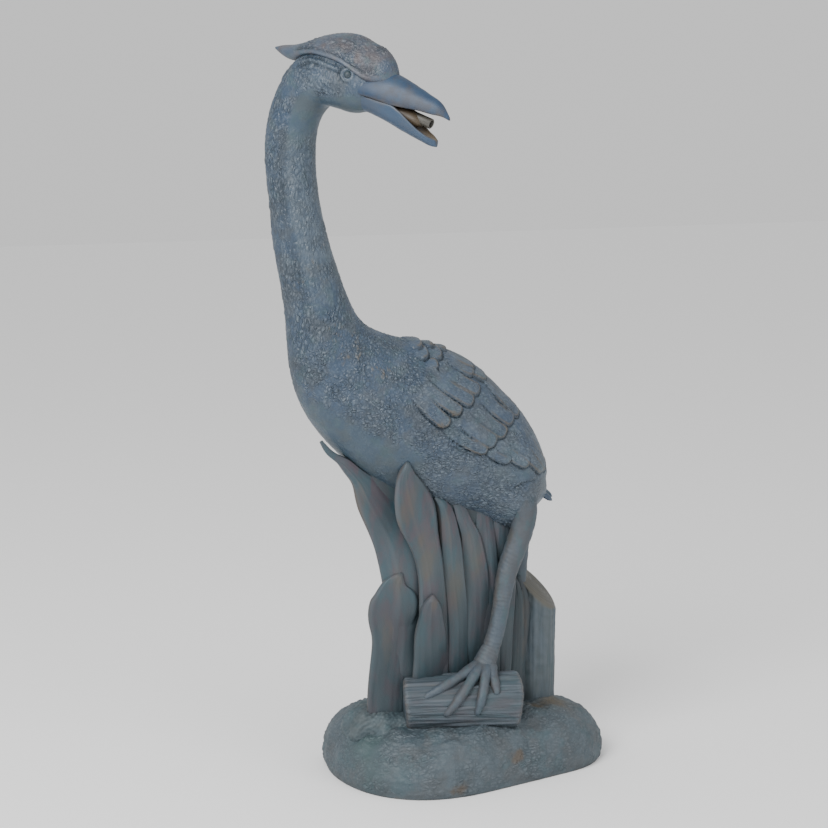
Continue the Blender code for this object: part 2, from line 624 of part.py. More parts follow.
# Hose tail in the back of the rock
rock_back = float(rock_edge(96)[:, 1].max())
hose_mouth = np.array((0.0, rock_back, HOSE_HEIGHT))
hose_ahead = (0.0, 1.0, 0.0)
hose_back = hose_mouth - np.array(hose_ahead) * 2 * SEAT_DEPTH
hose_length = 2 * SEAT_DEPTH + HOSE_SHOWN
boolean(statue, seat("hose_seat", hose_back, hose_ahead, HOSE_RADIUS + SEAT_CLEARANCE,
                     hose_length), "DIFFERENCE")
barbs = [(SEAT_CLEARANCE, HOSE_BORE), (SEAT_CLEARANCE, HOSE_RADIUS)]
for number in range(3):
    start = hose_length - HOSE_SHOWN * (0.7 - 0.23 * number)
    barbs += [(start, HOSE_RADIUS), (start, HOSE_RADIUS + BARB_RISE),
              (start + 0.2 * HOSE_SHOWN, HOSE_RADIUS)]
barbs += [(hose_length, HOSE_RADIUS), (hose_length, HOSE_BORE)]
hose = turned("hose_inlet", barbs, hose_back, hose_ahead)

statue.data.materials.append(material("painted_resin", SLATE_BLUE, 0.62))
nozzle.data.materials.append(material("nylon_tube", TUBE_GREY, 0.45))
hose.data.materials.append(material("moulded_nylon", HOSE_BLACK, 0.5))
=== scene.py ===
"""Heron pond spitter: a resin casting painted slate blue, with the water tube in its beak and
the hose tail at the back of its rock base. Metres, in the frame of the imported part."""

import math

import bpy
import numpy as np
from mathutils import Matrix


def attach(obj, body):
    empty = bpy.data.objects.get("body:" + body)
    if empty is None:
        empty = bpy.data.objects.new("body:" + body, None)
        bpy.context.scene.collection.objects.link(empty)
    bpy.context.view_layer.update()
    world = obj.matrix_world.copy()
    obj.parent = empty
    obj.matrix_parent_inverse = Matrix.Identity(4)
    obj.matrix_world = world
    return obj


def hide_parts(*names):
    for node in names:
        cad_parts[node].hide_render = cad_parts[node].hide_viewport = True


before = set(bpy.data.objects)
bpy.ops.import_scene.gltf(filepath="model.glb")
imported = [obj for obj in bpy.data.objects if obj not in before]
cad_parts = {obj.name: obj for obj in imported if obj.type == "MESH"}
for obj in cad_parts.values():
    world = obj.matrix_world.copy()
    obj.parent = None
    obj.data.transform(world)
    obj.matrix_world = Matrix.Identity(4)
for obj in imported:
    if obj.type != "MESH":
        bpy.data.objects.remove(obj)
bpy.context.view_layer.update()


# Rock base. The foot of the one hollow casting, modelled as rough field stone: a low dome with
# steep, slightly undercut sides. It is poured in one with everything that stands on it, in
# filled resin, then painted and dry-brushed.
BASE_LENGTH = 0.286
BASE_DEPTH = 0.190
BASE_TOP = 0.062
ROCK_EDGE = (
    (1.0, -0.22), (0.8, -0.53), (0.52, -0.67), (0.02, -0.86), (-0.30, -0.94), (-0.58, -0.88),
    (-0.84, -0.6), (-0.99, -0.1), (-1.01, 0.35), (-0.9, 0.8), (-0.55, 0.98), (-0.05, 1.0),
    (0.45, 0.97), (0.84, 0.72), (1.02, 0.25),
)
ROCK_UNDERCUT = 0.03
ROCK_SHOULDER = 4.4
ROCK_DOME = 2.5
ROCK_HEAP = 0.2
UNDERCUT_FADE = 0.006
ROCK_DAB = 0.0054
ROCK_PITS = 0.0010
ROCK_LUMPS = ((0.0012, 0.018), (0.0008, 0.007), (0.0003, 0.0024))
SWAY = 0.006
SWAY_MM = 50 / 7
CREVICE = 0.014
WASH_AND_SHADE = 0.8
OCHRE_PAINT = "#544b3b"
GREEN_PAINT = "#354a4b"
GAPE_SHADE = "#33291f"
OCHRE_SPOTS = ((0.093, -0.002, 0.057, 0.017), (0.070, -0.012, 0.060, 0.009))
GREEN_SPOTS = ((-0.118, -0.022, 0.047, 0.022), (-0.112, -0.044, 0.020, 0.018))
CHIPS = ((0.022, -0.074, 0.028, 0.007), (0.028, -0.072, 0.033, 0.005), (-0.041, -0.088, 0.010, 0.008),
         (-0.052, -0.086, 0.008, 0.005))
CELLS = 32
LATTICE = np.random.default_rng(11).random((CELLS, CELLS, CELLS, 4))


def unit(vectors):
    """Vectors of length one."""
    return vectors / np.maximum(np.linalg.norm(vectors, axis=-1, keepdims=True), 1e-12)


def smooth(knots, values, at):
    """Natural cubic through values at knots, read at the places in at."""
    knots, values = np.asarray(knots, float), np.asarray(values, float)
    gap = np.diff(knots)
    rise = np.diff(values, axis=0) / gap[:, None]
    count = len(knots)
    system = np.eye(count)
    right = np.zeros_like(values)
    for row in range(1, count - 1):
        system[row, row - 1:row + 2] = gap[row - 1], 2 * (gap[row - 1] + gap[row]), gap[row]
        right[row] = 6 * (rise[row] - rise[row - 1])
    bend = np.linalg.solve(system, right)
    left = np.clip(np.searchsorted(knots, at) - 1, 0, count - 2)
    span = gap[left][:, None]
    near = (knots[left + 1] - at)[:, None]
    far = (at - knots[left])[:, None]
    return (bend[left] * near ** 3 + bend[left + 1] * far ** 3) / (6 * span) + (
        values[left] / span - bend[left] * span / 6) * near + (
        values[left + 1] / span - bend[left + 1] * span / 6) * far


def turns(sides):
    """Angles once round, as a row."""
    return np.linspace(0, 2 * math.pi, sides, endpoint=False)[None, :]


def at_points(*coordinates):
    """Points from coordinates that broadcast against each other."""
    return np.stack(np.broadcast_arrays(*coordinates), -1)


def run_of(line):
    """Distance along a line of points, at each of them."""
    return np.r_[0, np.cumsum(np.linalg.norm(np.diff(line, axis=0), axis=1))]


def evenly(line, count):
    """The same line with its points evenly spaced."""
    knots = run_of(line)
    at = np.linspace(0, knots[-1], count)
    return np.stack([np.interp(at, knots, column) for column in line.T], 1)


def held(value):
    """A value kept between 0 and 1."""
    return np.clip(value, 0, 1)


def step(value, low, high):
    """Smooth step from 0 at low to 1 at high: 3t^2 - 2t^3 of the share t between them."""
    share = held((value - low) / (high - low))
    return share * share * (3 - 2 * share)


def bell(value, width):
    """Bell curve, 1 at zero: e to the power of minus the square of value over width."""
    return np.exp(-(value / width) ** 2)


def drift(points, size, seed):
    """Soft noise from -1 to 1: random numbers on a cubic lattice of that size, each blended
    into the next by a smooth step."""
    spot = np.asarray(points) / size + 7.31 * seed
    cell = np.floor(spot).astype(int)
    part = spot - cell
    part = part * part * (3 - 2 * part)
    total = 0.0
    for corner in np.ndindex(2, 2, 2):
        look = (cell + corner) % CELLS
        weight = np.prod(np.where(corner, part, 1 - part), axis=-1)
        total = total + weight * LATTICE[look[..., 0], look[..., 1], look[..., 2], 0]
    return 2 * total - 1


def drifts(points, size, seed):
    """Three soft noises as one vector."""
    return np.stack([drift(points, size, seed + shift) for shift in range(3)], -1)


def dabs(points, size, seed=0):
    """Dabs of a modelling tool, one scattered in each cell of a cubic lattice. Gives the
    distances to the nearest and the next one, in cells, the way to the nearest one and its
    own random number."""
    spot = np.asarray(points) / size + 3.7 * seed
    cell = np.floor(spot).astype(int)
    near = np.full(spot.shape[:-1], 9.0)
    after = near.copy()
    own = near.copy()
    way = np.zeros_like(spot)
    for corner in np.ndindex(3, 3, 3):
        at = cell + corner - 1
        look = at % CELLS
        random = LATTICE[look[..., 0], look[..., 1], look[..., 2]]
        offset = at + random[..., :3] - spot
        away = np.linalg.norm(offset, axis=-1)
        closer = away < near
        after = np.where(closer, near, np.minimum(after, away))
        near = np.where(closer, away, near)
        way = np.where(closer[..., None], offset, way)
        own = np.where(closer, random[..., 3], own)
    return near, after, way, own


def spots(points, places, tall=1.0):
    """Soft ragged spots: for each place x, y, z and radius, a bell of the distance from it,
    the spot tall times as high as it is wide."""
    total = 0.0
    for x, y, z, radius in places:
        away = (points - (x, y, z)) / (1, 1, tall)
        ragged = 0.35 * radius * drift(away, 0.5 * radius, 4)
        total = total + bell(np.linalg.norm(away, axis=-1) + ragged, radius)
    return held(total)


def facing(rings):
    """Unit normals of a grid that closes round its columns: the cross product of the ways
    to its neighbours, turned to point away from the middle of each ring."""
    ahead = np.gradient(rings, axis=0)
    around = np.roll(rings, -1, 1) - np.roll(rings, 1, 1)
    normal = unit(np.cross(around, ahead))
    return normal * np.sign((normal * (rings - rings.mean(1, keepdims=True))).sum())


def pushed(rings, relief):
    """Rings moved along their normals by a relief."""
    return rings + facing(rings) * relief[..., None]


def outward(points, quads, fans):
    """Four and three sided faces, turned so that the volume they close is positive."""
    corner = points[quads] - points[0]
    volume = (np.cross(corner[:, 0], corner[:, 1]) * corner[:, 2]).sum() + (
        np.cross(corner[:, 0], corner[:, 2]) * corner[:, 3]).sum()
    if volume < 0:
        quads, fans = quads[:, ::-1], fans[:, ::-1]
    return quads, fans


def shell(rings, **marks):
    """Closed shell over rings of points: points, faces and marks, with a pole in the middle of
    each end ring."""
    rows, sides = rings.shape[:2]
    first = np.arange(rows * sides).reshape(rows, sides)
    after = np.roll(first, -1, 1)
    quads = np.stack([first[:-1], after[:-1], after[1:], first[1:]], -1).reshape(-1, 4)
    low, high = rows * sides, rows * sides + 1
    fans = np.concatenate([
        np.stack([after[0], first[0], np.full(sides, low)], -1),
        np.stack([first[-1], after[-1], np.full(sides, high)], -1)])
    points = np.concatenate([rings.reshape(-1, 3), rings[[0, -1]].mean(1)])
    quads, fans = outward(points, quads, fans)
    values = {name: np.r_[np.broadcast_to(mark, rings.shape[:2]).reshape(-1),
                          np.broadcast_to(mark, rings.shape[:2])[[0, -1]].mean(1)]
              for name, mark in marks.items()}
    return points, quads, fans, values


def stand(name, data):
    """New object in the scene."""
    made = bpy.data.objects.new(name, data)
    bpy.context.scene.collection.objects.link(made)
    return made


def piece(name, shells, material, sharp=math.radians(60)):
    """Object at the origin from one or more closed shells, its marks kept as attributes."""
    start = 0
    faces = []
    for points, quads, fans, _ in shells:
        faces += (quads + start).tolist() + (fans + start).tolist()
        start += len(points)
    mesh = bpy.data.meshes.new(name)
    mesh.from_pydata(np.concatenate([points for points, *_ in shells]).tolist(), [], faces)
    for mark in sorted(set().union(*(values for *_, values in shells))):
        layer = mesh.attributes.new(mark, "FLOAT", "POINT")
        parts = [values.get(mark, np.zeros(len(points))) for points, _, _, values in shells]
        layer.data.foreach_set("value", np.concatenate(parts).astype(np.float32))
    mesh.shade_smooth()
    mesh.set_sharp_from_angle(angle=sharp)
    mesh.materials.append(material)
    return stand(name, mesh)


def linear(code):
    """Linear colour of an sRGB hex code."""
    value = np.array([int(code[at:at + 2], 16) for at in (1, 3, 5)]) / 255
    return (*np.where(value <= 0.04045, value / 12.92, ((value + 0.055) / 1.055) ** 2.4), 1.0)


def add(tree, kind, inputs, output=0, **settings):
    """One node: its settings, its inputs by name or number as values or links, and one of its
    outputs handed back."""
    node = tree.nodes.new(kind)
    for name, value in settings.items():
        setattr(node, name, value)
    for socket, value in inputs.items():
        if isinstance(value, bpy.types.NodeSocket):
            tree.links.new(value, node.inputs[socket])
        else:
            node.inputs[socket].default_value = value
    return node.outputs[output]


def coat(tree, under, share, code):
    """A coat of one colour over another, by a share from 0 to 1."""
    return add(tree, "ShaderNodeMix", {0: share, 6: under, 7: linear(code)}, 2, data_type="RGBA",
               clamp_factor=True)


def ramp(tree, value, start, end, low=0.0, high=1.0, soft=True):
    """A value read from start to end as low to high, held beyond them, and eased if soft."""
    return add(tree, "ShaderNodeMapRange", {
        "Value": value, "From Min": start, "From Max": end, "To Min": low, "To Max": high},
        interpolation_type="SMOOTHSTEP" if soft else "LINEAR")


def maths(tree, operation, *values, **settings):
    """One sum or product of links and numbers."""
    return add(tree, "ShaderNodeMath", dict(enumerate(values)), operation=operation, **settings)


def fresh_material(name):
    """New material, with its tree, its shader and its object coordinates."""
    made = bpy.data.materials.new(name)
    made.use_nodes = True
    tree = made.node_tree
    return made, tree, tree.nodes["Principled BSDF"], add(tree, "ShaderNodeTexCoord", {}, "Object")


def painted_resin(name, ground, dry, deep, patch, rub, brush, patch_mm, teal="#344b52",
                  brush_from=0.35, patch_amount=0.6, stretch=(1, 1, 1), roughness=0.6, gloss=0.5,
                  grain_mm=1.1, grain=0.12, mouth="#625a4f", dab_mm=3.6, dab_stretch=(1, 1, 1),
                  dab_turn=0.0, dab_depth=0.0018):
    """Resin cast from a mould, filled with stone powder, and painted by hand: a slate ground
    coat clouded with brown and teal, a dark wash left in the hollows, a lighter coat
    dry-brushed over what is raised, and rubs that let a brown through. The same dark colour is
    also painted on as shade in creases and where parts meet, and wherever a piece marks
    painted shade. Satin, finely grained, and stippled with small dabs wherever it is marked dabbed."""
    made, tree, shader, place = fresh_material(name)
    drawn = add(tree, "ShaderNodeMapping", {"Vector": place, "Scale": stretch})
    mark = {key: add(tree, "ShaderNodeAttribute", {}, "Fac", attribute_name=key)
            for key in ("raised", "sunk", "rubbed", "inner", "gape", "ochre", "green", "dabbed")}
    sway = add(tree, "ShaderNodeTexNoise", {"Vector": place, "Scale": 1000 / SWAY_MM}, "Color")
    swayed = add(tree, "ShaderNodeVectorMath", {0: sway, 1: (SWAY, SWAY, SWAY), 2: place},
                 operation="MULTIPLY_ADD")
    swayed = add(tree, "ShaderNodeVectorRotate", {"Vector": swayed, "Angle": dab_turn},
                 rotation_type="Z_AXIS")
    swayed = add(tree, "ShaderNodeMapping", {"Vector": swayed, "Scale": dab_stretch})
    gap = add(tree, "ShaderNodeTexVoronoi", {"Vector": swayed, "Scale": 1000 / dab_mm}, "Distance",
              feature="DISTANCE_TO_EDGE")
    own = add(tree, "ShaderNodeTexVoronoi", {"Vector": swayed, "Scale": 1000 / dab_mm}, "Color")
    mound = maths(tree, "MULTIPLY", ramp(tree, gap, 0.0, 0.42),
                  ramp(tree, own, 0.15, 0.85, 0.15, soft=False))
    mound = maths(tree, "MULTIPLY", mound, mark["dabbed"])
    seam = ramp(tree, gap, 0.0, 0.2, 0.75, 0.0)
    speck = add(tree, "ShaderNodeTexNoise", {
        "Vector": place, "Scale": 1000 / grain_mm, "Detail": 2.0, "Roughness": 0.6})
    cloud = add(tree, "ShaderNodeTexNoise", {
        "Vector": drawn, "Scale": 1000 / patch_mm, "Detail": 4.0, "Roughness": 0.6})
    other = tree.nodes.new("ShaderNodeSeparateColor")
    tree.links.new(add(tree, "ShaderNodeTexNoise", {
        "Vector": drawn, "Scale": 1600 / patch_mm, "Detail": 3.0, "Roughness": 0.55}, "Color"),
        other.inputs[0])
    first, second, third = other.outputs[:3]
    colour = coat(tree, linear(ground), ramp(tree, cloud, 0.44, 0.62, 0.0, patch_amount), patch)
    colour = coat(tree, colour, ramp(tree, third, 0.5, 0.66, 0.0, 0.55), teal)
    loaded = maths(tree, "MULTIPLY_ADD", speck, 0.6, mark["raised"])
    loaded = maths(tree, "MULTIPLY_ADD", second, 0.6, loaded)
    loaded = maths(tree, "MULTIPLY_ADD", mound, 0.5, loaded)
    brushed = ramp(tree, loaded, brush_from + 0.35, brush_from + 1.25, 0.0, brush)
    colour = coat(tree, colour, brushed, dry)
    for key, code in (("ochre", OCHRE_PAINT), ("green", GREEN_PAINT)):
        colour = coat(tree, colour, mark[key], code)
    # Dark wash in the hollows, and the painted shade that pieces mark, in the dark colour.
    washed = maths(tree, "MULTIPLY_ADD", seam, mark["dabbed"], mark["sunk"])
    colour = coat(tree, colour, maths(tree, "MULTIPLY", washed, WASH_AND_SHADE, use_clamp=True), deep)
    # Painted shade: the dark colour laid into creases and the gaps between parts, by ambient
    # occlusion.
    open_air = add(tree, "ShaderNodeAmbientOcclusion", {"Distance": CREVICE}, "AO", samples=6)
    colour = coat(tree, colour, ramp(tree, open_air, 0.6, 0.12, 0.0, WASH_AND_SHADE, soft=False), deep)
    bare = maths(tree, "MULTIPLY_ADD", first, 0.9, mark["rubbed"])
    colour = coat(tree, colour, ramp(tree, bare, 0.6, 1.4, 0.0, 0.85), rub)
    colour = coat(tree, colour, mark["inner"], mouth)
    # Painted shade deep inside the mouth.
    colour = coat(tree, colour, mark["gape"], GAPE_SHADE)
    tree.links.new(colour, shader.inputs["Base Color"])
    tree.links.new(ramp(tree, cloud, 0.3, 0.7, roughness - 0.08, roughness + 0.1, soft=False),
                   shader.inputs["Roughness"])
    shader.inputs["Specular IOR Level"].default_value = gloss
    bump = add(tree, "ShaderNodeBump", {
        "Height": speck, "Distance": 0.0004, "Strength": grain * 4})
    bump = add(tree, "ShaderNodeBump", {
        "Height": mound, "Distance": dab_depth, "Strength": 0.9, "Normal": bump})
    tree.links.new(bump, shader.inputs["Normal"])
    return made


def rock_edge(sides):
    """Foot of the rock seen from above, as a smooth closed line."""
    table = np.array(ROCK_EDGE + ROCK_EDGE[:1]) * (BASE_LENGTH / 2, BASE_DEPTH / 2)
    wrapped = np.vstack([table[-4:-1], table, table[1:4]])
    knots = run_of(wrapped)
    at = np.linspace(knots[3], knots[-4], sides, endpoint=False)
    return smooth(knots, wrapped, at)


def rock(rows=125, sides=330):
    """Rock: its foot line drawn in by reach and raised by height, the height a power of the
    sine and the reach a power of the cosine of one angle, heaped up to the left rear, then
    roughened along its normals by soft noise and by dabs."""
    angle = np.linspace(0, math.pi / 2, 4000)
    profile = np.stack([BASE_LENGTH / 2 * np.cos(angle) ** (2 / ROCK_SHOULDER),
                        BASE_TOP * np.sin(angle) ** (2 / ROCK_DOME)], 1)
    reach, height = evenly(profile, rows).T
    reach = np.r_[reach[:1], reach[:-1]] / reach[0]
    height = np.r_[0.0, np.maximum(height[:-1], 0.0006)]
    reach = reach * (1 - ROCK_UNDERCUT * np.exp(-height / UNDERCUT_FADE))
    x, y = (reach[:, None, None] * rock_edge(sides)).transpose(2, 0, 1)
    height = height[:, None]
    rough = (0.0022 * np.sin(61 * x + 2 * np.sin(43 * y)) * np.sin(53 * y + 1.3)
             + 0.0014 * np.sin(131 * x - 90 * y + 0.5) * np.sin(117 * y + 40 * x))
    heaped = ROCK_HEAP * np.clip(y / BASE_DEPTH - x / BASE_LENGTH, 0, 0.7) / 0.7
    grown = height * (1 + heaped) + rough * held(height / 0.02)
    rings = np.stack([x, y, grown], -1)
    swayed = rings + 0.0016 * drifts(rings, 0.008, 5)
    near, after, _, own = dabs(swayed, ROCK_DAB)
    pitted = step(after - near, 0.0, 0.45) * (0.35 + 0.9 * own)
    large, small, grain = (rise * drift(rings, size, seed)
                           for seed, (rise, size) in enumerate(ROCK_LUMPS))
    lumps = large + small
    relief = lumps + ROCK_PITS * (pitted - 0.5) + grain
    relief *= step(height, 0.0, 0.004)
    rings = pushed(rings, relief)
    rings[..., 2] = np.maximum(rings[..., 2], 0.0)
    worked = np.clip(0.7 + 0.7 * drift(rings, 0.016, 8), 0.2, 1.2)
    high = held(0.32 + (relief - 0.7 * lumps) / 0.004 * worked)
    return shell(rings, raised=high, sunk=held(0.25 - high) * 1.2,
                 rubbed=np.maximum(0.6 * np.exp(-grown / 0.0018), 0.85 * spots(rings, CHIPS)),
                 dabbed=0.8 * worked * step(height, 0.001, 0.006),
                 ochre=0.9 * spots(rings, OCHRE_SPOTS), green=0.8 * spots(rings, GREEN_SPOTS))


rock_base = piece("rock_base", [rock()], painted_resin(
    "painted_stone_resin", ground="#3e4a51", dry="#596269", deep="#2b343a", patch="#484a4b",
    rub="#4c443b", brush=0.85, patch_mm=30, grain_mm=1.6, grain=0.14, dab_mm=3.8,
    dab_stretch=(0.6, 1, 1.2), dab_depth=0.0012))
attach(rock_base, "root")
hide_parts("heron_statue")


# Ledge. A broken slab of the same rock that stands up at the left rear of the base, dressed
# with slanting strokes of the modelling tool. Cast in one with the base.
STROKES_MM = 5.0
LEDGE_AT = (-0.62, 0.05)
LEDGE_REACH = (0.297, 0.279)
LEDGE_HEIGHT = 0.78
LEDGE_RISE = 0.42
LEDGE_DAB = 0.0042
LEDGE_PITS = 0.0008
STROKE_DEPTH = 0.0009


def ledge(rows=70, sides=170):
    """Ledge: a squashed superellipsoid with a lobed outline, scored by strokes that rise to
    the right and roughened by dabs."""
    turn = turns(sides)
    rise = np.linspace(-math.pi / 2, math.pi / 2, rows + 2)[1:-1, None]
    broken = 1 + 0.07 * np.sin(4 * turn + 1) + 0.05 * np.sin(9 * turn)
    spread = np.cos(rise) ** 0.6
    x = BASE_LENGTH / 2 * (LEDGE_AT[0] + LEDGE_REACH[0] * spread * np.cos(turn) * broken)
    y = (LEDGE_AT[1] * BASE_DEPTH + LEDGE_REACH[1] * BASE_LENGTH * spread * np.sin(turn) * broken) / 2
    z = BASE_TOP * (LEDGE_HEIGHT + LEDGE_RISE * np.sin(rise)) + 0.003 * np.sin(30 * x)
    rings = at_points(x, y, z)
    cut = (rings[..., 1] - 0.6 * rings[..., 0] + 0.8 * rings[..., 2]) * 1000 / STROKES_MM
    cut = cut + 0.8 * drift(rings, 0.012, 3)
    stroke = np.abs(cut - np.round(cut)) * 2
    near, after, _, _ = dabs(rings, LEDGE_DAB, 2)
    relief = STROKE_DEPTH * (step(stroke, 0.0, 0.45) - 0.7) + LEDGE_PITS * (
        step(after - near, 0, 0.4) - 0.6)
    relief = relief + 0.0012 * drift(rings, 0.009, 4)
    rings = pushed(rings, relief)
    high = held(0.2 + relief / 0.0075)
    return shell(rings, raised=high, sunk=held(0.3 - high) * 1.5, rubbed=0.15 * high,
                 green=np.full((rows, sides), 0.25))


rock_ledge = piece("rock_ledge", [ledge()], bpy.data.materials["painted_stone_resin"])
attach(rock_ledge, "root")
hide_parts("heron_statue")


# Log. A sawn length of branch lying on the rock, that the near foot grips. Modelled with long
# furrows along it and worn ends, and cast in one with the rock, a little sunk into it.
BIRD_HEIGHT = 0.680
FIGURE = BIRD_HEIGHT / 680.0
LOG_LENGTH = 0.118
LOG_RADIUS = 0.0285
LOG_SUNK = 0.011
LOG_AT = (-20.0, -30.0)
LOG_TURN = math.radians(-13)
LOG_RING_MM = 3.2
SAWN_DEPTH = 0.0004
LOG_WEAR = 0.0035
LOG_GRAIN = (0.11, 0.0042)
LOG_FINE_GRAIN = (0.05, 0.0024)
CRACK_DEPTH = 0.0006
FINE_DEPTH = 0.0003


def log_point(place, turn, out):
    """Points on the log: place along it as the x it would have if it lay straight, turn from
    its top towards the front, and distance outside its bark."""
    radius = LOG_RADIUS + out
    middle = np.array(LOG_AT) * FIGURE
    along, across = place - middle[0], -radius * np.sin(turn)
    x = middle[0] + along * math.cos(LOG_TURN) - across * math.sin(LOG_TURN)
    y = middle[1] + along * math.sin(LOG_TURN) + across * math.cos(LOG_TURN)
    height = BASE_TOP + LOG_RADIUS - LOG_SUNK + radius * np.cos(turn)
    return at_points(x, y, height)


def furrows(along, turn, radius, grain, seed):
    """Long split grain: dabs as long and as wide as the grain says. Gives how deep a point
    lies in the crack between two of them, and the random height of the splinter it is on."""
    length, width = grain
    drawn = at_points(along / length, radius * np.cos(turn) / width, radius * np.sin(turn) / width)
    near, after, _, own = dabs(drawn, 1.0, seed)
    return bell(after - near, 0.2), own


def log(rows=110, sides=260):
    """Log: a cylinder whose radius falls at the worn ends, furrowed along, and closed by flat
    ends with shallow growth rings."""
    middle = LOG_AT[0] * FIGURE
    share = np.linspace(-0.5, 0.5, rows)[:, None]
    turn = turns(sides)
    bark = 0.0004 * np.sin(17 * turn + 2 * np.sin(5 * share)) + 0.0005 * np.sin(3 * turn + 4 * share)
    worn = -LOG_WEAR * held((np.abs(share) - 0.465) / 0.035) ** 2.5
    place = middle + LOG_LENGTH * share + 0.0015 * np.sin(2 * turn) * np.sign(share)
    crack, own = furrows(place, turn, LOG_RADIUS, LOG_GRAIN, 1)
    fine, faint = furrows(place, turn, LOG_RADIUS, LOG_FINE_GRAIN, 2)
    relief = -CRACK_DEPTH * crack - FINE_DEPTH * fine + CRACK_DEPTH * (own - 0.5)
    side = log_point(place, turn, bark + worn + relief)
    inward = np.linspace(0.97, 0.05, 16)[:, None, None]
    ends = []
    for end in (0, -1):
        hub = side[end].mean(0)
        face = hub + (side[end] - hub) * inward
        rings_mm = 1000 * LOG_RADIUS * inward[..., 0]
        sawn = (1 if end else -1) * -SAWN_DEPTH * np.sin(2 * math.pi * rings_mm / LOG_RING_MM) ** 2
        face += sawn[..., None] * np.array((math.cos(LOG_TURN), math.sin(LOG_TURN), 0.0))
        ends.append(face)
    rings = np.concatenate([ends[0][::-1], side, ends[1]])
    plain = np.zeros((len(inward), sides))
    rim = step(np.abs(share), 0.44, 0.5)
    high = 0.4 + 0.3 * (own - 0.5) + 0.5 * (faint - 0.5) - 0.2 * crack + 0.3 * rim
    high = np.concatenate([plain + 0.4, held(high), plain + 0.4])
    sunk = np.concatenate([plain, held(0.45 * crack + 0.15 * fine - 0.12), plain])
    rub = np.concatenate([plain, 0.3 * faint + 0.35 * rim, plain])
    return shell(rings, raised=high, sunk=sunk, rubbed=rub)


cut_log = piece("log", [log()], painted_resin(
    "painted_bark_resin", ground="#3a454d", dry="#555d66", deep="#283236", patch="#48454b",
    rub="#4f473f", brush=0.8, patch_mm=16, stretch=(0.3, 1, 1), grain_mm=0.9))
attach(cut_log, "root")
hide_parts("heron_statue")


# Stump. A short post at the right rear, its top cut on a slant that falls to the right and the
# front, and worn round. Modelled with upright grain and growth rings, and cast in one with the
# rock.
STUMP_RADIUS = 0.0235
STUMP_HEIGHT = 0.112
STUMP_AT = (84.0, 30.0)
STUMP_SLANT = 0.95
STUMP_FALLS = math.radians(-34)
STUMP_FOOT = 0.6
STUMP_DOME = 0.25
STUMP_GRAIN = (0.12, 0.006)
RING_SPACING = 0.0034
RING_HEIGHT = 0.0009


def stump(rows=90, sides=160):
    """Stump: a round post with faint split grain, its slanted top domed as a flattened sphere
    and marked with growth rings."""
    centre = np.array(STUMP_AT) * FIGURE
    turn = turns(sides)
    foot = -STUMP_FOOT * BASE_TOP
    up = np.linspace(0, 1, rows)[:, None]
    bark = 1 + 0.015 * np.sin(9 * turn) + 0.01 * np.sin(5 * turn + 3 * up)
    inward = np.linspace(1, 0.03, 34)[1:, None]
    worn = STUMP_DOME * STUMP_RADIUS * np.sqrt(1 - inward ** 2)
    radius = np.concatenate([STUMP_RADIUS * bark, STUMP_RADIUS * inward + 0 * turn])
    height = np.concatenate([foot + (STUMP_HEIGHT - foot) * up + 0 * turn,
                             STUMP_HEIGHT + worn + 0 * turn])
    crack, own = furrows(height, turn, STUMP_RADIUS, STUMP_GRAIN, 4)
    on_side = np.concatenate([0 * up + 1, 0 * inward])
    relief = on_side * (0.0005 * (own - 0.5) - 0.0004 * crack + 0.0004 * drift(
        at_points(radius * np.cos(turn), radius * np.sin(turn), height), 0.006, 3))
    rounds = 0.5 + 0.5 * np.sin(2 * math.pi * radius / RING_SPACING + 0.8 * np.sin(3 * turn))
    height = height + (1 - on_side) * RING_HEIGHT * rounds
    share = held((height - foot) / (STUMP_HEIGHT - foot)) ** 6
    height = height - STUMP_SLANT * share * radius * np.cos(turn - STUMP_FALLS)
    radius = radius + relief
    rings = at_points(centre[0] + radius * np.cos(turn), centre[1] + radius * np.sin(turn),
                      BASE_TOP + height)
    high = np.where(on_side > 0, 0.45 + relief / 0.0022, 0.25 + 0.5 * rounds)
    top = 1 - on_side + 0 * turn
    return shell(rings, raised=held(high), sunk=0.25 * on_side * held(crack - 0.3),
                 ochre=0.5 * top, rubbed=np.maximum(0.5 * top, 0.45 * step(share, 0.6, 1.0)))


cut_stump = piece("stump", [stump()], painted_resin(
    "painted_post_resin", ground="#435059", dry="#5a636b", deep="#2c363a", patch="#495051",
    rub="#5c594f", brush=0.6, patch_mm=20, stretch=(1, 1, 0.3)))
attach(cut_stump, "root")
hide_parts("heron_statue")


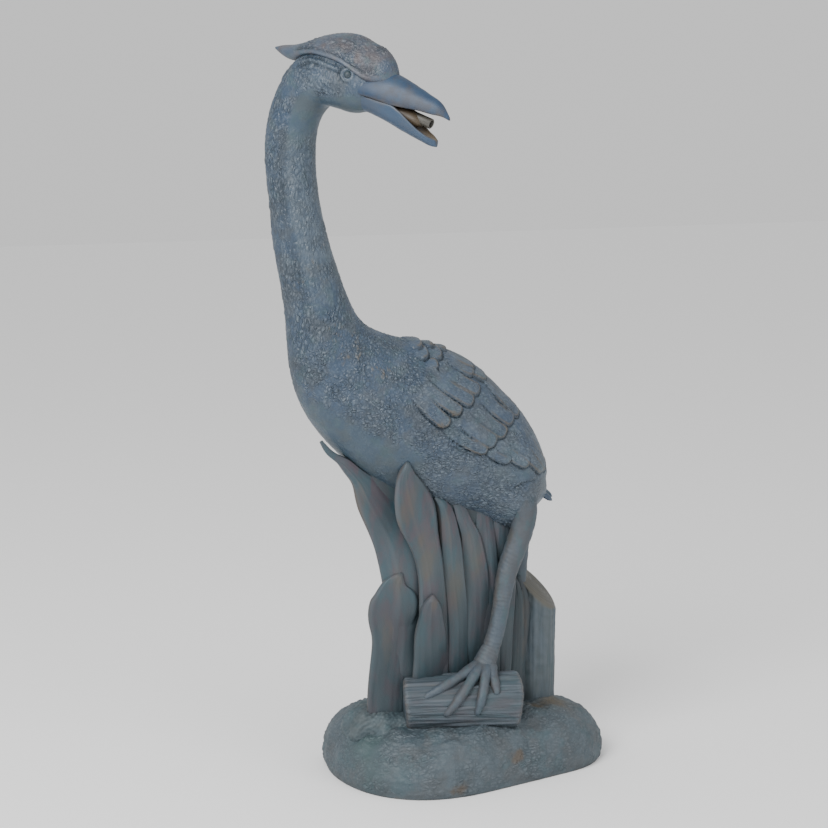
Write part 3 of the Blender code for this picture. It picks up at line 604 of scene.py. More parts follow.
# Reeds. Broad pond leaves that rise from the rock round a solid core and carry the belly,
# plainer ones at the back. Smooth faces folded along a keel, cast in one with the rock, and
# painted with upright streaks of slate, teal and brown.
REEDS = (
    ((-160, -12, 290, 2), (-150, -12, 277, 5), (-139, -12, 269, 8), (-129, -12, 259, 10),
     (-120, -12, 249, 13), (-108, -14, 230, 22), (-97, -16, 213, 27), (-80, -18, 182, 29),
     (-71, -18, 145, 28), (-69, -14, 83, 26), (-69, -10, -20, 22)),
    ((-83, -47, 271, 1.5), (-83.5, -45, 260, 8), (-80, -42, 243, 17.5), (-72, -38, 220, 23.5),
     (-63, -34, 193, 18), (-55.5, -31, 169, 14.5), (-51, -28, 143, 14), (-48, -24, 110, 16),
     (-45, -19, 71, 16), (-44, -12, -20, 15)),
    ((-49.5, -32, 230, 2), (-43, -30, 224, 6.5), (-38, -28, 216, 8.5), (-33, -27, 196, 10.5),
     (-30, -26, 175, 12), (-27.5, -25, 154, 12), (-23, -22, 123, 12), (-20, -18, 82, 12),
     (-18, -12, -20, 12)),
    ((-40, -26, 229, 1), (-29, -25, 224, 4), (-24, -24, 219, 6.5), (-16.3, -24, 203, 9),
     (-9.8, -23, 189, 11), (-5.5, -22, 171, 13), (-2, -20, 151, 14.5), (1, -18, 119, 15),
     (1, -15, 88, 15), (0, -10, -20, 14)),
    ((6, -18, 214, 8), (8, -18, 190, 12), (12, -17, 150, 13), (16, -15, 110, 13),
     (18, -12, 69, 12), (20, -5, -20, 11)),
    ((27, -15, 216, 9), (29, -15, 190, 13), (30, -14, 155, 14), (32, -12, 110, 14),
     (32, -8, 67, 13), (32, -2, -20, 12)),
    ((-80, -20, 154, 3), (-86, -20, 143, 13), (-87, -20, 129, 23), (-89, -19, 112, 26),
     (-89, -17, 93, 23), (-91, -15, 70, 21), (-93, -13, 45, 20), (-93, -8, -20, 19)),
    ((-52, -34, 132, 1), (-52.5, -33, 124, 8), (-52.5, -31, 111, 12.5), (-52, -28, 96, 16),
     (-51, -25, 75, 18.5), (-50, -22, 60, 20), (-48, -14, -20, 20)),
    ((59, 12, 130, 1), (62, 12, 115, 6), (64, 12, 97, 8), (62, 12, 66, 8), (60, 12, -20, 8)),
    ((52, 4, 130, 2), (54, 4, 118, 5), (55, 4, 100, 7), (54, 4, 66, 8.5), (52, 4, -20, 8)),
)
KEELS = (-0.45, -0.3, -0.1, -0.2, 0.0, 0.0, 0.15, -0.1, 0.0, 0.0)
REED_THICKNESS = 5.5
REED_TURN = 0.16
REED_TURN_RUN = 21
REED_BEAD = 0.14
REED_GROOVE = 0.1
REED_WAVE = 0.5
SHADED_FROM = 45
SHADED_BELOW = 165
BACK_REEDS = ((0, 40, 0.88), (1, 14, 0.86), (3, -4, 0.9), (6, 40, 0.95), (7, 44, 1.0))
BACK_TURN = 15.0
CLUMP = (
    (-36, 0, 264, 84, 29),
    (-30, 1, 225, 78, 28),
    (-22, 3, 190, 66, 26),
    (-20, 4, 140, 60, 24),
    (-20, 6, 70, 62, 22),
    (-20, 8, 0, 64, 22),
    (-20, 8, -30, 64, 22),
)
REED_OCHRE = ((-28, -32, 140, 9), (-27, -32, 122, 8), (-58, -36, 172, 8), (-60, -36, 158, 6),
              (-4, -28, 160, 8), (-86, -26, 148, 6))
REED_BROWN = ((-98, -26, 80, 10), (-97, -26, 98, 7), (-80, -45, 240, 9), (-84, -45, 220, 8),
              (-122, -17, 232, 9), (-66, -36, 192, 8), (-12, -28, 186, 9), (62, 5, 100, 9),
              (62, 5, 60, 9), (-40, -33, 205, 7), (-36, -33, 190, 6), (-52, -38, 124, 5))


def placed(points):
    """Real places of points drawn in millimetres on a bird 680 mm high."""
    return np.asarray(points, float) * FIGURE + (0.0, 0.0, BASE_TOP)


def along(table, rows):
    """A table of stations, read smoothly at even steps along its own path."""
    table = np.array(table, float)
    knots = run_of(table[:, :3])
    return smooth(knots, table, np.linspace(0, knots[-1], rows))


def blade_ways(path):
    """Ways along a flat blade, across it and out of it, at each point of its path."""
    ahead = unit(np.gradient(path, axis=0))
    across = unit(np.cross(ahead, (0.0, 1.0, 0.0)))
    return ahead, across, np.cross(ahead, across)


def blade_rings(path, side, across, height, out):
    """Rings on a path: how far each point lies to the side and how far out."""
    return path[:, None] + side[..., None] * across[:, None] + height[..., None] * out[:, None]


def reed(table, keel, rows=120, sides=44):
    """Leaf along a bent path: across it a tent that rises to the keel, with rounded edges and
    a thin bead along them. The face rocks a little from side to side as it climbs."""
    x, y, z, width = along(table, rows).T
    path = np.stack([x, y, z], 1)
    ahead, across, out = blade_ways(path)
    width = np.maximum(width * np.abs(ahead[:, 2]), 0.6)[:, None]
    rock_by = (REED_TURN * np.sin(z / REED_TURN_RUN + x[-1]))[:, None]
    across, out = (across * np.cos(rock_by) + out * np.sin(rock_by),
                   out * np.cos(rock_by) - across * np.sin(rock_by))
    turn = turns(sides)
    place = np.cos(turn)
    from_keel = np.where(place > keel, (place - keel) / (1 - keel), (keel - place) / (1 + keel))
    tent = 0.25 * (1 - from_keel) + 0.75 * np.sqrt(held(1 - place ** 4))
    bead = REED_BEAD * bell(np.abs(place) - 0.85, 0.07) - REED_GROOVE * bell(from_keel - 0.16, 0.07)
    thick = np.minimum(width, REED_THICKNESS)
    lift = thick * np.sign(np.sin(turn)) * (tent + bead)
    across_mm = width * place
    rings = blade_rings(path, across_mm, across, lift, out)
    wave = drift(at_points(across_mm / 5 + x[0], 0 * across_mm, z[:, None] / 40), 1.0, 2)
    rings = rings + REED_WAVE * wave[..., None] * out[:, None]
    edge = bell(1 - np.abs(place), 0.08) + 0 * width
    ridge = bell(from_keel, 0.07) + 0 * width
    # Painted shade: the far right leaves and the low parts of every leaf are painted darker.
    shade = 0.4 * (x[-1] > SHADED_FROM) + 0.5 * step(SHADED_BELOW - z, 0, 60)[:, None]
    return shell(placed(rings), raised=held(0.3 + 0.4 * edge + 0.3 * ridge + 0.25 * wave),
                 rubbed=held(0.45 * edge + 0.2 * ridge + 0.55 * spots(rings, REED_BROWN, 2.6)),
                 sunk=shade + 0 * edge, ochre=0.4 * spots(rings, REED_OCHRE, 2.4))


def reed_core(rows=60, sides=110):
    """Core of the clump: an oval column with seven shallow folds, painted dark all over as
    painted shade under the belly.
    """
    x, y, z, width, depth = along(CLUMP, rows).T[:, :, None]
    turn = turns(sides)
    folds = 1 + 0.05 * np.cos(7 * turn)
    rings = at_points(x + width * folds * np.cos(turn), y + depth * folds * np.sin(turn), z)
    return shell(placed(rings), sunk=np.full((rows, sides), 0.8))


leaves = [reed(table, keel) for table, keel in zip(REEDS, KEELS)]
for which, shift, share in BACK_REEDS:
    behind = [(x + shift, 2 * BACK_TURN - y, z * share if z > 0 else z, width)
              for x, y, z, width in REEDS[which]]
    leaves.append(reed(behind, -KEELS[which], rows=80, sides=30))
reed_clump = piece("reeds", leaves + [reed_core()], painted_resin(
    "painted_leaf_resin", ground="#333f46", dry="#495158", deep="#203035", patch="#463f46",
    rub="#4b443f", teal="#28464f", brush=0.7, patch_mm=19, patch_amount=0.9,
    stretch=(1, 1, 0.4), grain=0.1, roughness=0.55), sharp=math.radians(80))
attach(reed_clump, "root")
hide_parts("heron_statue")


# Legs. The near one comes down in front of the reeds and grips the log, the far one stands
# behind on the rock. Long shins with soft rings of horn scales on their front, four toes, cast
# in one with the body and the log.
NEAR_LEG = ((32, -20, 256, 22), (42, -29, 228, 16.5), (46.5, -32, 207, 12), (42, -32, 184, 10.5),
            (30, -32, 153, 9.5), (23, -32, 119, 8), (18, -32, 92, 7.5), (12, -32, 72, 8))
FAR_LEG = ((40, 20, 246, 22), (57, 27, 208, 13), (66, 24, 182, 9.5), (66, 24, 150, 8.5),
           (64, 25, 110, 8), (60, 28, 60, 8), (56, 32, 8, 9))
FOOT_PLACE = 4.0
FOOT_TURN = math.radians(-4)
FOOT_RISE = 9.0
TOE_RADIUS = 5.2
TOES = ((-60, 62, -2), (-40, 104, 1), (-8, 104, 6), (13, 62, 9))
TOE_TAPER = (1.3, 0.62)
TOE_SCALES = (0.006, 0.0052, 0.0003, (-0.2, -0.6, 0.8))
KNUCKLES = 1.7
KNUCKLE_RISE = 0.08
FAR_FOOT = (56.0, 32.0, 6.0)
FAR_TOES = (20, 75, 130)
FAR_TOE_LENGTH = 34.0
FAR_TOE_DROP = 13.0
SHIN_SWELL = 0.0009
SHIN_TOP = (0.31, 0.27)
THIGH_RUN = 0.055
THIGH_DAB = 0.0036
SCALE_SPACING = 0.0040


def tube(path, radius, sides):
    """Round rings square to a path, whose radius may change along it."""
    path = np.asarray(path, float)
    ahead = unit(np.gradient(path, axis=0))
    side = unit(np.cross(ahead, (0.31, 0.95, 0.02)))
    top = np.cross(side, ahead)
    turn = turns(sides)[..., None]
    spread = np.broadcast_to(np.asarray(radius, float), len(path))[:, None, None]
    return path[:, None] + spread * (np.cos(turn) * side[:, None] + np.sin(turn) * top[:, None])


def scaled(rings, start, spacing=SCALE_SPACING, depth=0.0007, front=(-0.55, -0.8, 0.2)):
    """Limb with horn scales on the side that faces front: each scale swells and ends in a
    groove. A thigh above them is stippled by dabs."""
    run = run_of(rings.mean(1))[:, None]
    at = run / spacing + 0.3 * drift(rings, 0.006, 5) + 0.8 * drift(rings, 0.03, 6)
    phase = at - np.floor(at)
    groove = bell(phase - 0.5 + 0.5 * np.sign(phase - 0.5), 0.15)
    normal = facing(rings)
    band = step(normal @ unit(np.array(front)), 0.25, 0.8)
    on = step(run, start, start + 0.02) * (0.15 + 0.85 * band)
    on = on * np.clip(0.6 + 0.8 * drift(rings, 0.016, 2), 0.1, 1.2)
    thigh = (1 - step(run, start - 0.03, start)) * (start > 0.03)
    near, after, _, _ = dabs(rings / (1.0, 1.0, 1.4), THIGH_DAB, 2)
    relief = on * depth * (0.8 * np.sin(math.pi * phase) ** 0.6 - 1.1 * groove)
    relief = relief + 0.0009 * thigh * (step(after - near, 0, 0.4) - 0.5)
    relief = relief + 0.0003 * drift(rings, 0.004, 6) + 0.0002 * drift(rings, 0.0018, 7)
    rings = rings + normal * relief[..., None]
    worn = held(0.5 + 0.7 * drift(rings, 0.012, 8))
    edge = step(-normal[..., 0], 0.55, 0.95) * step(run, start, start + 0.02)
    return shell(rings, raised=held(0.25 + 0.3 * on * np.sin(math.pi * phase) * worn),
                 sunk=0.75 * on * groove * worn, rubbed=0.5 * edge + 0.12 * band * (start < 0.03),
                 dabbed=0.9 * thigh + 0 * phase)


def legs():
    """Both legs and their toes."""
    near = along(NEAR_LEG, 200)
    hub = log_point(FOOT_PLACE * FIGURE, FOOT_TURN, FOOT_RISE * FIGURE)
    path = np.vstack([placed(near[:, :3]), hub, hub - (0.002, 0.0, FOOT_RISE * FIGURE)])
    both = np.c_[path, np.r_[near[:, 3], 10.5, 10.0] * FIGURE]
    both[:, 3] += SHIN_SWELL * step(both[:, 2], *SHIN_TOP)
    both = evenly(both, 260)
    shapes = [scaled(tube(both[:, :3], both[:, 3], 56), THIGH_RUN)]
    way = np.linspace(0, 1, 54)
    for end, turn, start in TOES:
        round_log = np.radians(turn) * way
        place = (start + (end - start) * way) * FIGURE
        lifted = (FOOT_RISE * (1 - way) ** 1.5 - 0.3 * TOE_RADIUS) * FIGURE
        radius = TOE_RADIUS * (TOE_TAPER[0] - TOE_TAPER[1] * way) * np.sqrt(
            held((1.02 - way) / 0.08)) * FIGURE
        radius = radius * (1 + KNUCKLE_RISE * np.sin(2 * math.pi * (KNUCKLES * way + 0.1)))
        shapes.append(scaled(tube(log_point(place, round_log, lifted), radius, 32), *TOE_SCALES))
    far = along(FAR_LEG, 160)
    shapes.append(scaled(tube(placed(far[:, :3]), far[:, 3] * FIGURE, 40), THIGH_RUN))
    way = np.linspace(0, 1, 40)
    for angle in FAR_TOES:
        reach = FAR_TOE_LENGTH * way
        heading = math.radians(angle)
        toe = np.array(FAR_FOOT) + np.stack([
            reach * math.cos(heading), reach * math.sin(heading), -FAR_TOE_DROP * way ** 1.5], 1)
        shapes.append(scaled(tube(placed(toe), TOE_RADIUS * (1.1 - 0.4 * way) * FIGURE, 24), 0.004))
    return shapes


leg_pair = piece("legs", legs(), painted_resin(
    "painted_horn_resin", ground="#3b4650", dry="#545c62", deep="#272f34", patch="#424040",
    rub="#493f34", brush=0.75, patch_mm=16, patch_amount=0.5, stretch=(1, 1, 0.5)))
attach(leg_pair, "root")
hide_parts("heron_statue")


# Body and neck. The hollow body of the casting, from the tail over the breast and up the neck
# to the skull: skin modelled with small irregular feather dabs, smooth at the throat and low on
# the breast, and a folded wing on each flank whose feathers lie like shingles.
TRUNK = np.array((
    (77, 0, 221, 180, 23, 11, 15),
    (60, 0, 231, 180, 14, 42, 38),
    (22, 0, 261, 180, 9, 65, 51),
    (-27, 0, 289, 180, 4, 78, 56),
    (-74, 0, 306, 180, 0, 78, 55),
    (-122, 0, 338, 180, 23, 61, 46),
    (-146, 0, 367, 180, 41, 49, 38),
    (-161, 0, 424, 180, 70, 31.5, 30),
    (-173, 0, 475, 180, 88, 27.5, 26.5),
    (-181, 0, 523, 190, 91, 24.3, 24.3),
    (-184, 1, 571, 230, 90, 24.5, 24.3),
    (-181, -2, 599, 280, 80, 25, 24.5),
    (-173, -10, 622, 300, 52, 25.5, 24.5),
    (-162, -24, 636, 308, 22, 26, 24.5),
    (-149, -40, 637, 310, 2, 27, 24.5),
    (-134, -57, 632, 310, -8, 26, 22.5),
    (-121, -73, 626, 310, -15, 18, 14),
), float)
FEATHERS = (
    (-80, 344, -45, 306, 7.4, 2.9), (-72, 350, -31, 316, 6.8, 2.7), (-60, 356, -16, 324, 7.0, 2.3),
    (-46, 360, -6, 333, 6.8, 1.8), (-36, 369, -6, 350, 6.4, 1.6), (-47, 304, -4, 277.5, 6.0, 2.3),
    (-32, 314, 6, 284, 8.4, 2.2), (-15, 318, 19, 291, 7.6, 1.8), (-5, 331, 30, 301, 7.4, 1.4),
    (6, 347, 41, 305, 7.0, 1.5), (-30, 374, 1, 355, 7.0, 1.9), (-22, 366, 11, 343, 7.0, 1.8),
    (-6, 282, 22, 265.5, 5.2, 1.3), (10, 284, 43, 259.5, 6.0, 1.5), (25, 289, 67, 251, 8.0, 1.7),
    (36, 298, 72, 249, 6.0, 1.8), (-71, 381, -55, 381, 7.5, 3.4), (-54, 380, -40, 379, 6.5, 3.2),
    (-40, 378, -26, 372.5, 6.5, 3.2), (-69, 371, -54, 372, 6.5, 2.8), (-52, 370, -38, 370.5, 6.5, 2.6),
    (-61, 361, -47, 361, 5.5, 2.2),
)
WING_EDGE = ((-92, -80, -45, -4, 22, 67, 80), (366, 340, 299, 271, 260, 245, 236))
WING_RISE = 3.2
FEATHER_BOW = 2.4
TIP_POWER = 2.4
LINE_DEPTH = 0.9
NECK_AT = np.array((-182.0, 0.0))
HEAD_TURN = math.radians(310)
HEAD_AHEAD = np.array((math.cos(HEAD_TURN), math.sin(HEAD_TURN)))
THROAT = ((390, 424, 475, 523, 560, 588, 601, 614, 624.5, 628.5, 629),
          (48, 27, 16, 8, 6, 9.3, 12.8, 17.5, 25, 36, 90))
LOW_BREAST = ((-179, -161, -139, -116, -92, -67), (336, 328, 316, 302, 289, 281))
CREASE = ((20, 27, 35, 44, 53), (230, 236, 240.5, 243, 242.6))
BROW = ((14, 21.5, 33.6, 45.6, 60.8, 67.3, 80), (649, 652.8, 654.7, 652.9, 647.5, 645.2, 640))
EYE = (74.6, 19.8, 641.5, 4.0)
CHEEK = (46, 634, 9.0)
SKULL = (618, 636)
RUMP_END = 178.0
NECK_START = 300.0
DAB_MM = 3.5
DAB_RISE = 1.05
DAB_DATUM = 0.4
SECOND_DAB_MM = 5.95
SECOND_SHARE = 0.35
DAB_STRETCH = ((0, 90, 190, 300, 380, 470, 620), (1.9, 1.9, 1.15, 1.25, 2.3, 2.2, 1.3))
BROWN_PATCHES = ((-137, -36, 381, 18), (-156, -32, 401, 15), (-109, -42, 361, 16),
                 (-63, -56, 296, 7), (-183, -23, 449, 12), (-52, -60, 307, 6), (-40, -60, 320, 6),
                 (-168, -27, 467, 9), (-158, -27, 450, 9), (-163, -22, 482, 7))


def wing(x, z):
    """Folded wing drawn from the side. Each feather is a strip with a round tip that stands
    proudest at its lower edge and its tip, so the one above laps over it. Gives the lift off
    the flank, the dark line round each feather, its rubbed edge and what it covers."""
    lift = np.zeros_like(x)
    line = np.zeros_like(x)
    edge = np.zeros_like(x)
    above = z - np.interp(x, *WING_EDGE)
    cover = 0.8 * step(above, 0, 5) * step(x, -62, -38)
    plateau = WING_RISE * step(above, -1, 5) * step(x, -98, -62)
    for root_x, root_z, tip_x, tip_z, width, rise in FEATHERS[::-1]:
        length = math.dist((root_x, root_z), (tip_x, tip_z))
        ahead = (tip_x - root_x) / length, (tip_z - root_z) / length
        run = (x - root_x) * ahead[0] + (z - root_z) * ahead[1]
        bow = FEATHER_BOW * held(4 * run * (length - run) / length ** 2) * (length > 30)
        off = (z - root_z) * ahead[0] - (x - root_x) * ahead[1] + bow
        past = np.maximum(run - (length - width), 0) + np.maximum(width - run, 0)
        within = width - (np.abs(off) ** TIP_POWER + past ** TIP_POWER) ** (1 / TIP_POWER)
        proud = 0.78 - 0.22 * off / width
        high = rise * step(within, -0.2, 1.0) * proud * np.clip(0.3 + 1.1 * run / length, 0, 1.15)
        over = high > lift
        begun = step(run / length, 0.0, 0.25)
        own_line = bell(within + 0.3, 0.8) * begun * np.clip(1.0 - 0.5 * off / width, 0.35, 1.4)
        own_edge = bell(within - 1.6, 1.1) * step(run / length, 0.1, 0.6)
        beside = own_line * (within > -2.0) * step(run / length, 0.3, 0.5)
        line = np.where(over, own_line, np.maximum(line, beside))
        edge = np.where(over, own_edge, edge)
        lift = np.maximum(lift, high)
        cover = np.maximum(cover, step(within, -1.0, 1.5) * begun)
    return plateau + lift - LINE_DEPTH * line, held(line), edge, cover


def face(place, side, height):
    """Relief of the head's sides and its dark lines: the lower brow ridge, the ring of the
    eyelid, the crease in front of the cheek."""
    on = step(np.abs(side), 9, 14) * step(place, 0, 8)
    over = height - np.interp(place, *BROW)
    ends = step(place, 15, 25) * (1 - step(place, 64, 70))
    brow = bell(over, 1.6) * ends
    under = (bell(over + 3.2, 1.5) + bell(over - 3.4, 1.4)) * ends
    away = np.hypot(place - EYE[0], height - EYE[2])
    lid = bell(away - 5.4, 1.1)
    socket = bell(away - 8.0, 1.6) * step(EYE[0] - place, -6, 5)
    cheek = bell(np.hypot((place - CHEEK[0]) / 1.5, height - CHEEK[1]), CHEEK[2])
    relief = on * (1.5 * brow - 0.7 * under + 1.1 * lid - 1.3 * socket + 1.4 * cheek)
    return relief, on * held(0.6 * under + 0.8 * socket), on * held(brow + lid)


def plumage(drawn, size, seed=0):
    """Small feather dabs, pushed out of line by soft noise and lapping towards the tail, as a
    height from 0 to 1 and the dark of the cracks between them."""
    swayed = drawn + 0.7 * size * drifts(drawn, 2.4 * size, seed + 5)
    near, after, way, own = dabs(swayed, size, seed)
    gap = after - near
    height = step(gap, 0.0, 0.42) * (0.2 + 0.85 * own + 0.5 * way[..., 0])
    return held(height), bell(gap, 0.17)


def trunk(start, end, rows, sides):
    """Stretch of the bent spindle that is body, neck and skull: oval rings square to a path,
    fuller at the brow, with the wings raised along their spokes and the plumage along their
    normals."""
    run = np.linspace(start, end, rows)
    x, y, z, heading, pitch, depth, width = smooth(run_of(TRUNK[:, :3]), TRUNK, run).T
    heading, pitch = np.radians(heading), np.radians(pitch)
    back = np.stack([-np.cos(heading) * np.sin(pitch), -np.sin(heading) * np.sin(pitch),
                     np.cos(pitch)], 1)[:, None]
    left = np.stack([-np.sin(heading), np.cos(heading), 0 * heading], 1)[:, None]
    turn = turns(sides)
    turn = turn + 0.3 * np.cos(turn)
    full = 1 - 0.5 * step(z, *SKULL)[:, None] * step(np.sin(turn), 0.0, 0.5)
    aside = np.sign(np.cos(turn)) * np.abs(np.cos(turn)) ** full
    spoke = (depth[:, None] * np.sin(turn))[..., None] * back + (
        width[:, None] * aside)[..., None] * left
    rings = np.stack([x, y, z], 1)[:, None] + spoke
    lift, line, edge, cover = wing(rings[..., 0], rings[..., 2])
    rings = rings + unit(spoke) * lift[..., None]
    fine = np.linspace(0, 640, 640)
    drawn_run = np.interp(run, fine, np.cumsum(1 / np.interp(fine, *DAB_STRETCH)))
    finer = 1 + 0.3 * step(run, 280, 340)[:, None]
    straight = at_points(drawn_run[:, None], finer * width[:, None] * np.cos(turn),
                         finer * depth[:, None] * np.sin(turn))
    height, crack = plumage(straight, DAB_MM)
    second, _ = plumage(straight, SECOND_DAB_MM, 3)
    height = (1 - SECOND_SHARE) * height + SECOND_SHARE * second
    at_x, at_y, at_z = np.moveaxis(rings, -1, 0)
    place = (at_x - NECK_AT[0]) * HEAD_AHEAD[0] + at_y * HEAD_AHEAD[1]
    side = at_y * HEAD_AHEAD[0] - (at_x - NECK_AT[0]) * HEAD_AHEAD[1]
    bare_throat = step(place - np.interp(at_z, *THROAT), -3, 2) * step(at_z, 380, 440)
    bare_throat = bare_throat * (1 - step(place, 38, 43) * step(at_z, 620, 623))
    bare_throat = bare_throat * (0.2 + 0.8 * step(at_z, 555, 600))
    low = step(np.interp(at_x, *LOW_BREAST) - at_z, -5, 10) * (1 - step(at_x, -78, -58))
    rear = bell(np.hypot((at_x - 36) / 30, (at_z - 252) / 9), 1.0) + step(at_x, 56, 66)
    bare = held(np.maximum(np.maximum(bare_throat, 0.85 * low), 0.8 * rear))
    worn = np.clip(0.75 + 0.55 * drift(rings, 13.0, 9), 0.25, 1.3)
    lores = step(place, 66, 74) * (at_z > 600)
    amount = (1 - 0.4 * cover) * (1 - 0.9 * bare) * (1 - 0.6 * lores) * worn
    relief = amount * (1 - 0.45 * cover) * (DAB_RISE * height - DAB_DATUM)
    relief = relief + 0.15 * cover * drift(rings, 1.6, 3)
    relief = relief + 0.25 * bare * drift(rings, 9.0, 2) + 0.15 * drift(rings, 3.2, 4)
    crease = bell(at_z - np.interp(at_x, *CREASE), 1.3) * step(at_x, 20, 27) * (
        1 - step(at_x, 50, 56)) * (np.abs(at_y) > 20)
    on_face, face_dark, face_light = face(place, side, at_z)
    relief = relief + on_face - 1.2 * crease
    rings = pushed(rings, relief)
    mottled = 0.5 + 0.5 * drift(rings, 7.0, 6)
    high = 0.18 + amount * (0.7 * height - 0.15) * (0.6 + 0.8 * mottled) + 0.12 * cover
    high = high + 0.2 * (mottled - 0.5) + 0.35 * face_light
    # Painted highlight on the cheek.
    high = high + 0.3 * bell(np.hypot((place - 50) / 24, (at_z - 632) / 13), 1.0)
    # Painted highlight: a lighter strip down the front of the neck, beside the throat.
    front = step(place - np.interp(at_z, *THROAT), -2, 5) * step(at_z, 420, 470)
    high = high + 0.28 * front * (1 - step(at_z, 570, 600))
    # Lighter low on the belly: dry-brushed there, and painted light against the shade under the body.
    high = high + 0.3 * amount * step(296 - at_z, 0, 34)
    # Painted shade: a darker band down the neck just behind the edge of the throat.
    band = bell(place - np.interp(at_z, *THROAT) + 4, 4.5) * step(at_z, 400, 450)
    band = band * (1 - step(at_z, 560, 600))
    sunk = 0.95 * line + 0.5 * amount * crack * (1.3 - mottled) + face_dark + 0.7 * crease
    # Painted shade: that band, the top of the throat under the head, and the low breast that faces
    # down.
    sunk = sunk + 0.4 * band + 0.2 * bare_throat * step(at_z, 590, 612) + 0.12 * low
    return shell(placed(rings), raised=held(high), sunk=held(sunk),
                 rubbed=held(0.65 * edge + 0.9 * spots(rings, BROWN_PATCHES) * height),
                 green=0.28 * bare, dabbed=held(amount * (0.6 + 0.8 * mottled)))


trunk_end = run_of(TRUNK[:, :3])[-1]
for name, start, end, rows, sides, dab_stretch in (
        ("rump", 0.0, RUMP_END, 262, 366, (0.5, 1, 1.15)),
        ("breast", RUMP_END, NECK_START, 132, 300, (0.75, 1, 0.85)),
        ("neck", NECK_START, trunk_end, 360, 176, (1, 1, 0.4))):
    part = piece(name, [trunk(start, end, rows, sides)], painted_resin(
        "painted_" + name + "_resin", ground="#2d4055", dry="#59646e", deep="#1f2c37",
        patch="#3f4448", rub="#51493d", brush=0.9, brush_from=0.24, patch_mm=24,
        patch_amount=0.7, roughness=0.46, dab_mm=3.0, dab_stretch=dab_stretch))
    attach(part, "root")
    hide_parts("heron_statue")


# Tail. Five short feathers that end the body, and the wing tips that stand past it. Cast in one
# with the rump in filled resin, and painted like it.
TAIL = (
    ((48, 0, 246), (91, 0, 214), 8),
    ((46, 12, 244), (87, 9, 212), 8),
    ((46, -12, 244), (87, -9, 212), 8),
    ((50, 20, 264), (76, 17, 245), 8),
    ((50, -20, 264), (76, -17, 245), 8),
)
TAIL_THICKNESS = 4.0


def tail_blade(root, tip, width, rows=34, sides=32):
    """Feather as a thin lens that narrows to its tip."""
    root, tip = np.array(root, float), np.array(tip, float)
    share = np.linspace(0, 1, rows)[:, None]
    path = root + (tip - root) * share
    ahead, across, out = blade_ways(path)
    spread = np.interp(share, (0, 0.5, 1), (width, width, width * 0.45)) * np.abs(ahead[:, 2:])
    spread = spread * np.sqrt(np.clip((1.0 - share) / 0.08, 0.02, 1))
    turn = turns(sides)
    thick = np.minimum(spread, TAIL_THICKNESS) * np.sign(np.sin(turn)) * np.abs(np.sin(turn)) ** 1.3
    rings = blade_rings(path, spread * np.cos(turn), across, thick, out)
    return shell(placed(rings), raised=np.full((rows, sides), 0.25),
                 rubbed=0.4 * np.abs(np.cos(turn)) ** 6 + 0 * share)


tail = piece("tail", [tail_blade(*blade) for blade in TAIL], bpy.data.materials["painted_rump_resin"])
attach(tail, "root")
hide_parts("heron_statue")


# Cap. The hood of feathers from the tuft at the nape over the crown to the forehead, with a
# thin raised rim over the brow. Modelled with swirled dabs and cast in one with the skull.
CAP = (
    (-18, 666, 1, 1, 1),
    (-9, 664, 4.5, 5, 6),
    (4, 662, 7, 8, 10.5),
    (16, 661.5, 9.5, 7, 15),
    (32, 662.5, 13, 6, 19.5),
    (50, 659.5, 19.5, 5.5, 22.5),
    (68, 653.5, 25.5, 6, 23.6),
    (80, 646.5, 29.5, 7, 22.8),
    (90, 640.5, 30.5, 7, 20.5),
    (99, 638, 29, 7, 17),
    (108, 638, 22, 6, 13),
    (113.5, 639, 12, 4, 7.5),
    (116, 640.5, 4, 2, 3),
)
CAP_DAB_MM = 2.5
CAP_SWIRL = 3.0
CAP_SWIRL_MM = 8.0
CAP_BROWN = ((64, -14, 668, 13), (44, -14, 668, 10), (84, -16, 658, 11), (100, -8, 655, 8),
             (84, 8, 672, 12))


def on_head(place, side, height):
    """Points of the head's own drawing: place along the bill, side to its left, height."""
    left = np.array((-HEAD_AHEAD[1], HEAD_AHEAD[0]))
    flat = NECK_AT + np.multiply.outer(place, HEAD_AHEAD) + np.multiply.outer(side, left)
    return np.concatenate([flat, np.asarray(height, float)[..., None]], -1)


def cap(rows=180, sides=210):
    """Hood: rings across the head that rise above the brow and drop a little below it, with a
    bead along their lower edge."""
    table = np.array(CAP, float)
    knots = table[:, 0]
    at = knots[0] + (knots[-1] - knots[0]) * (1 - np.cos(np.linspace(0, math.pi, rows))) / 2
    _, brow, rise, drop, width = smooth(knots, table, at).T[:, :, None]
    at = at[:, None]
    turn = turns(sides)
    height = np.where(np.sin(turn) > 0, rise, drop) * np.sin(turn)
    across = width * np.cos(turn)
    drawn = at_points(at, across, brow + height)
    rings = on_head(at + 0 * turn, across, brow + height)
    swirl = drawn + CAP_SWIRL * drifts(drawn, CAP_SWIRL_MM, 1)
    tall, crack = plumage(swirl, CAP_DAB_MM, 4)
    amount = step(at, 2, 20) * step(height, 0.5, 4.0) * (1 - 0.6 * step(at, 100, 112))
    amount = amount * np.clip(0.7 + 0.7 * drift(drawn, 12.0, 5), 0.15, 1.3)
    on_rim = step(at, 4, 18) * (1 - step(at, 88, 98))
    bead = on_rim * bell(height + 0.6, 1.6)
    groove = on_rim * bell(height - 3.0, 1.3)
    relief = amount * (0.9 * tall - 0.35) + 0.4 * bead - 0.5 * groove
    rings = pushed(rings, relief)
    cool = bell(np.hypot((at - 92) / 13, (height - 10) / 9), 1.0) * (across < 0)
    high = 0.2 + amount * (tall - 0.35) * 0.6 + 0.1 * bead - 0.25 * cool
    brown = spots(drawn, CAP_BROWN) * held(0.6 + 0.6 * drift(drawn, 5.0, 7))
    return shell(placed(rings), raised=held(high),
                 sunk=held(0.4 * amount * crack + 0.5 * groove),
                 rubbed=held(0.95 * brown + 0.2 * bead),
                 dabbed=held(1.1 * amount))


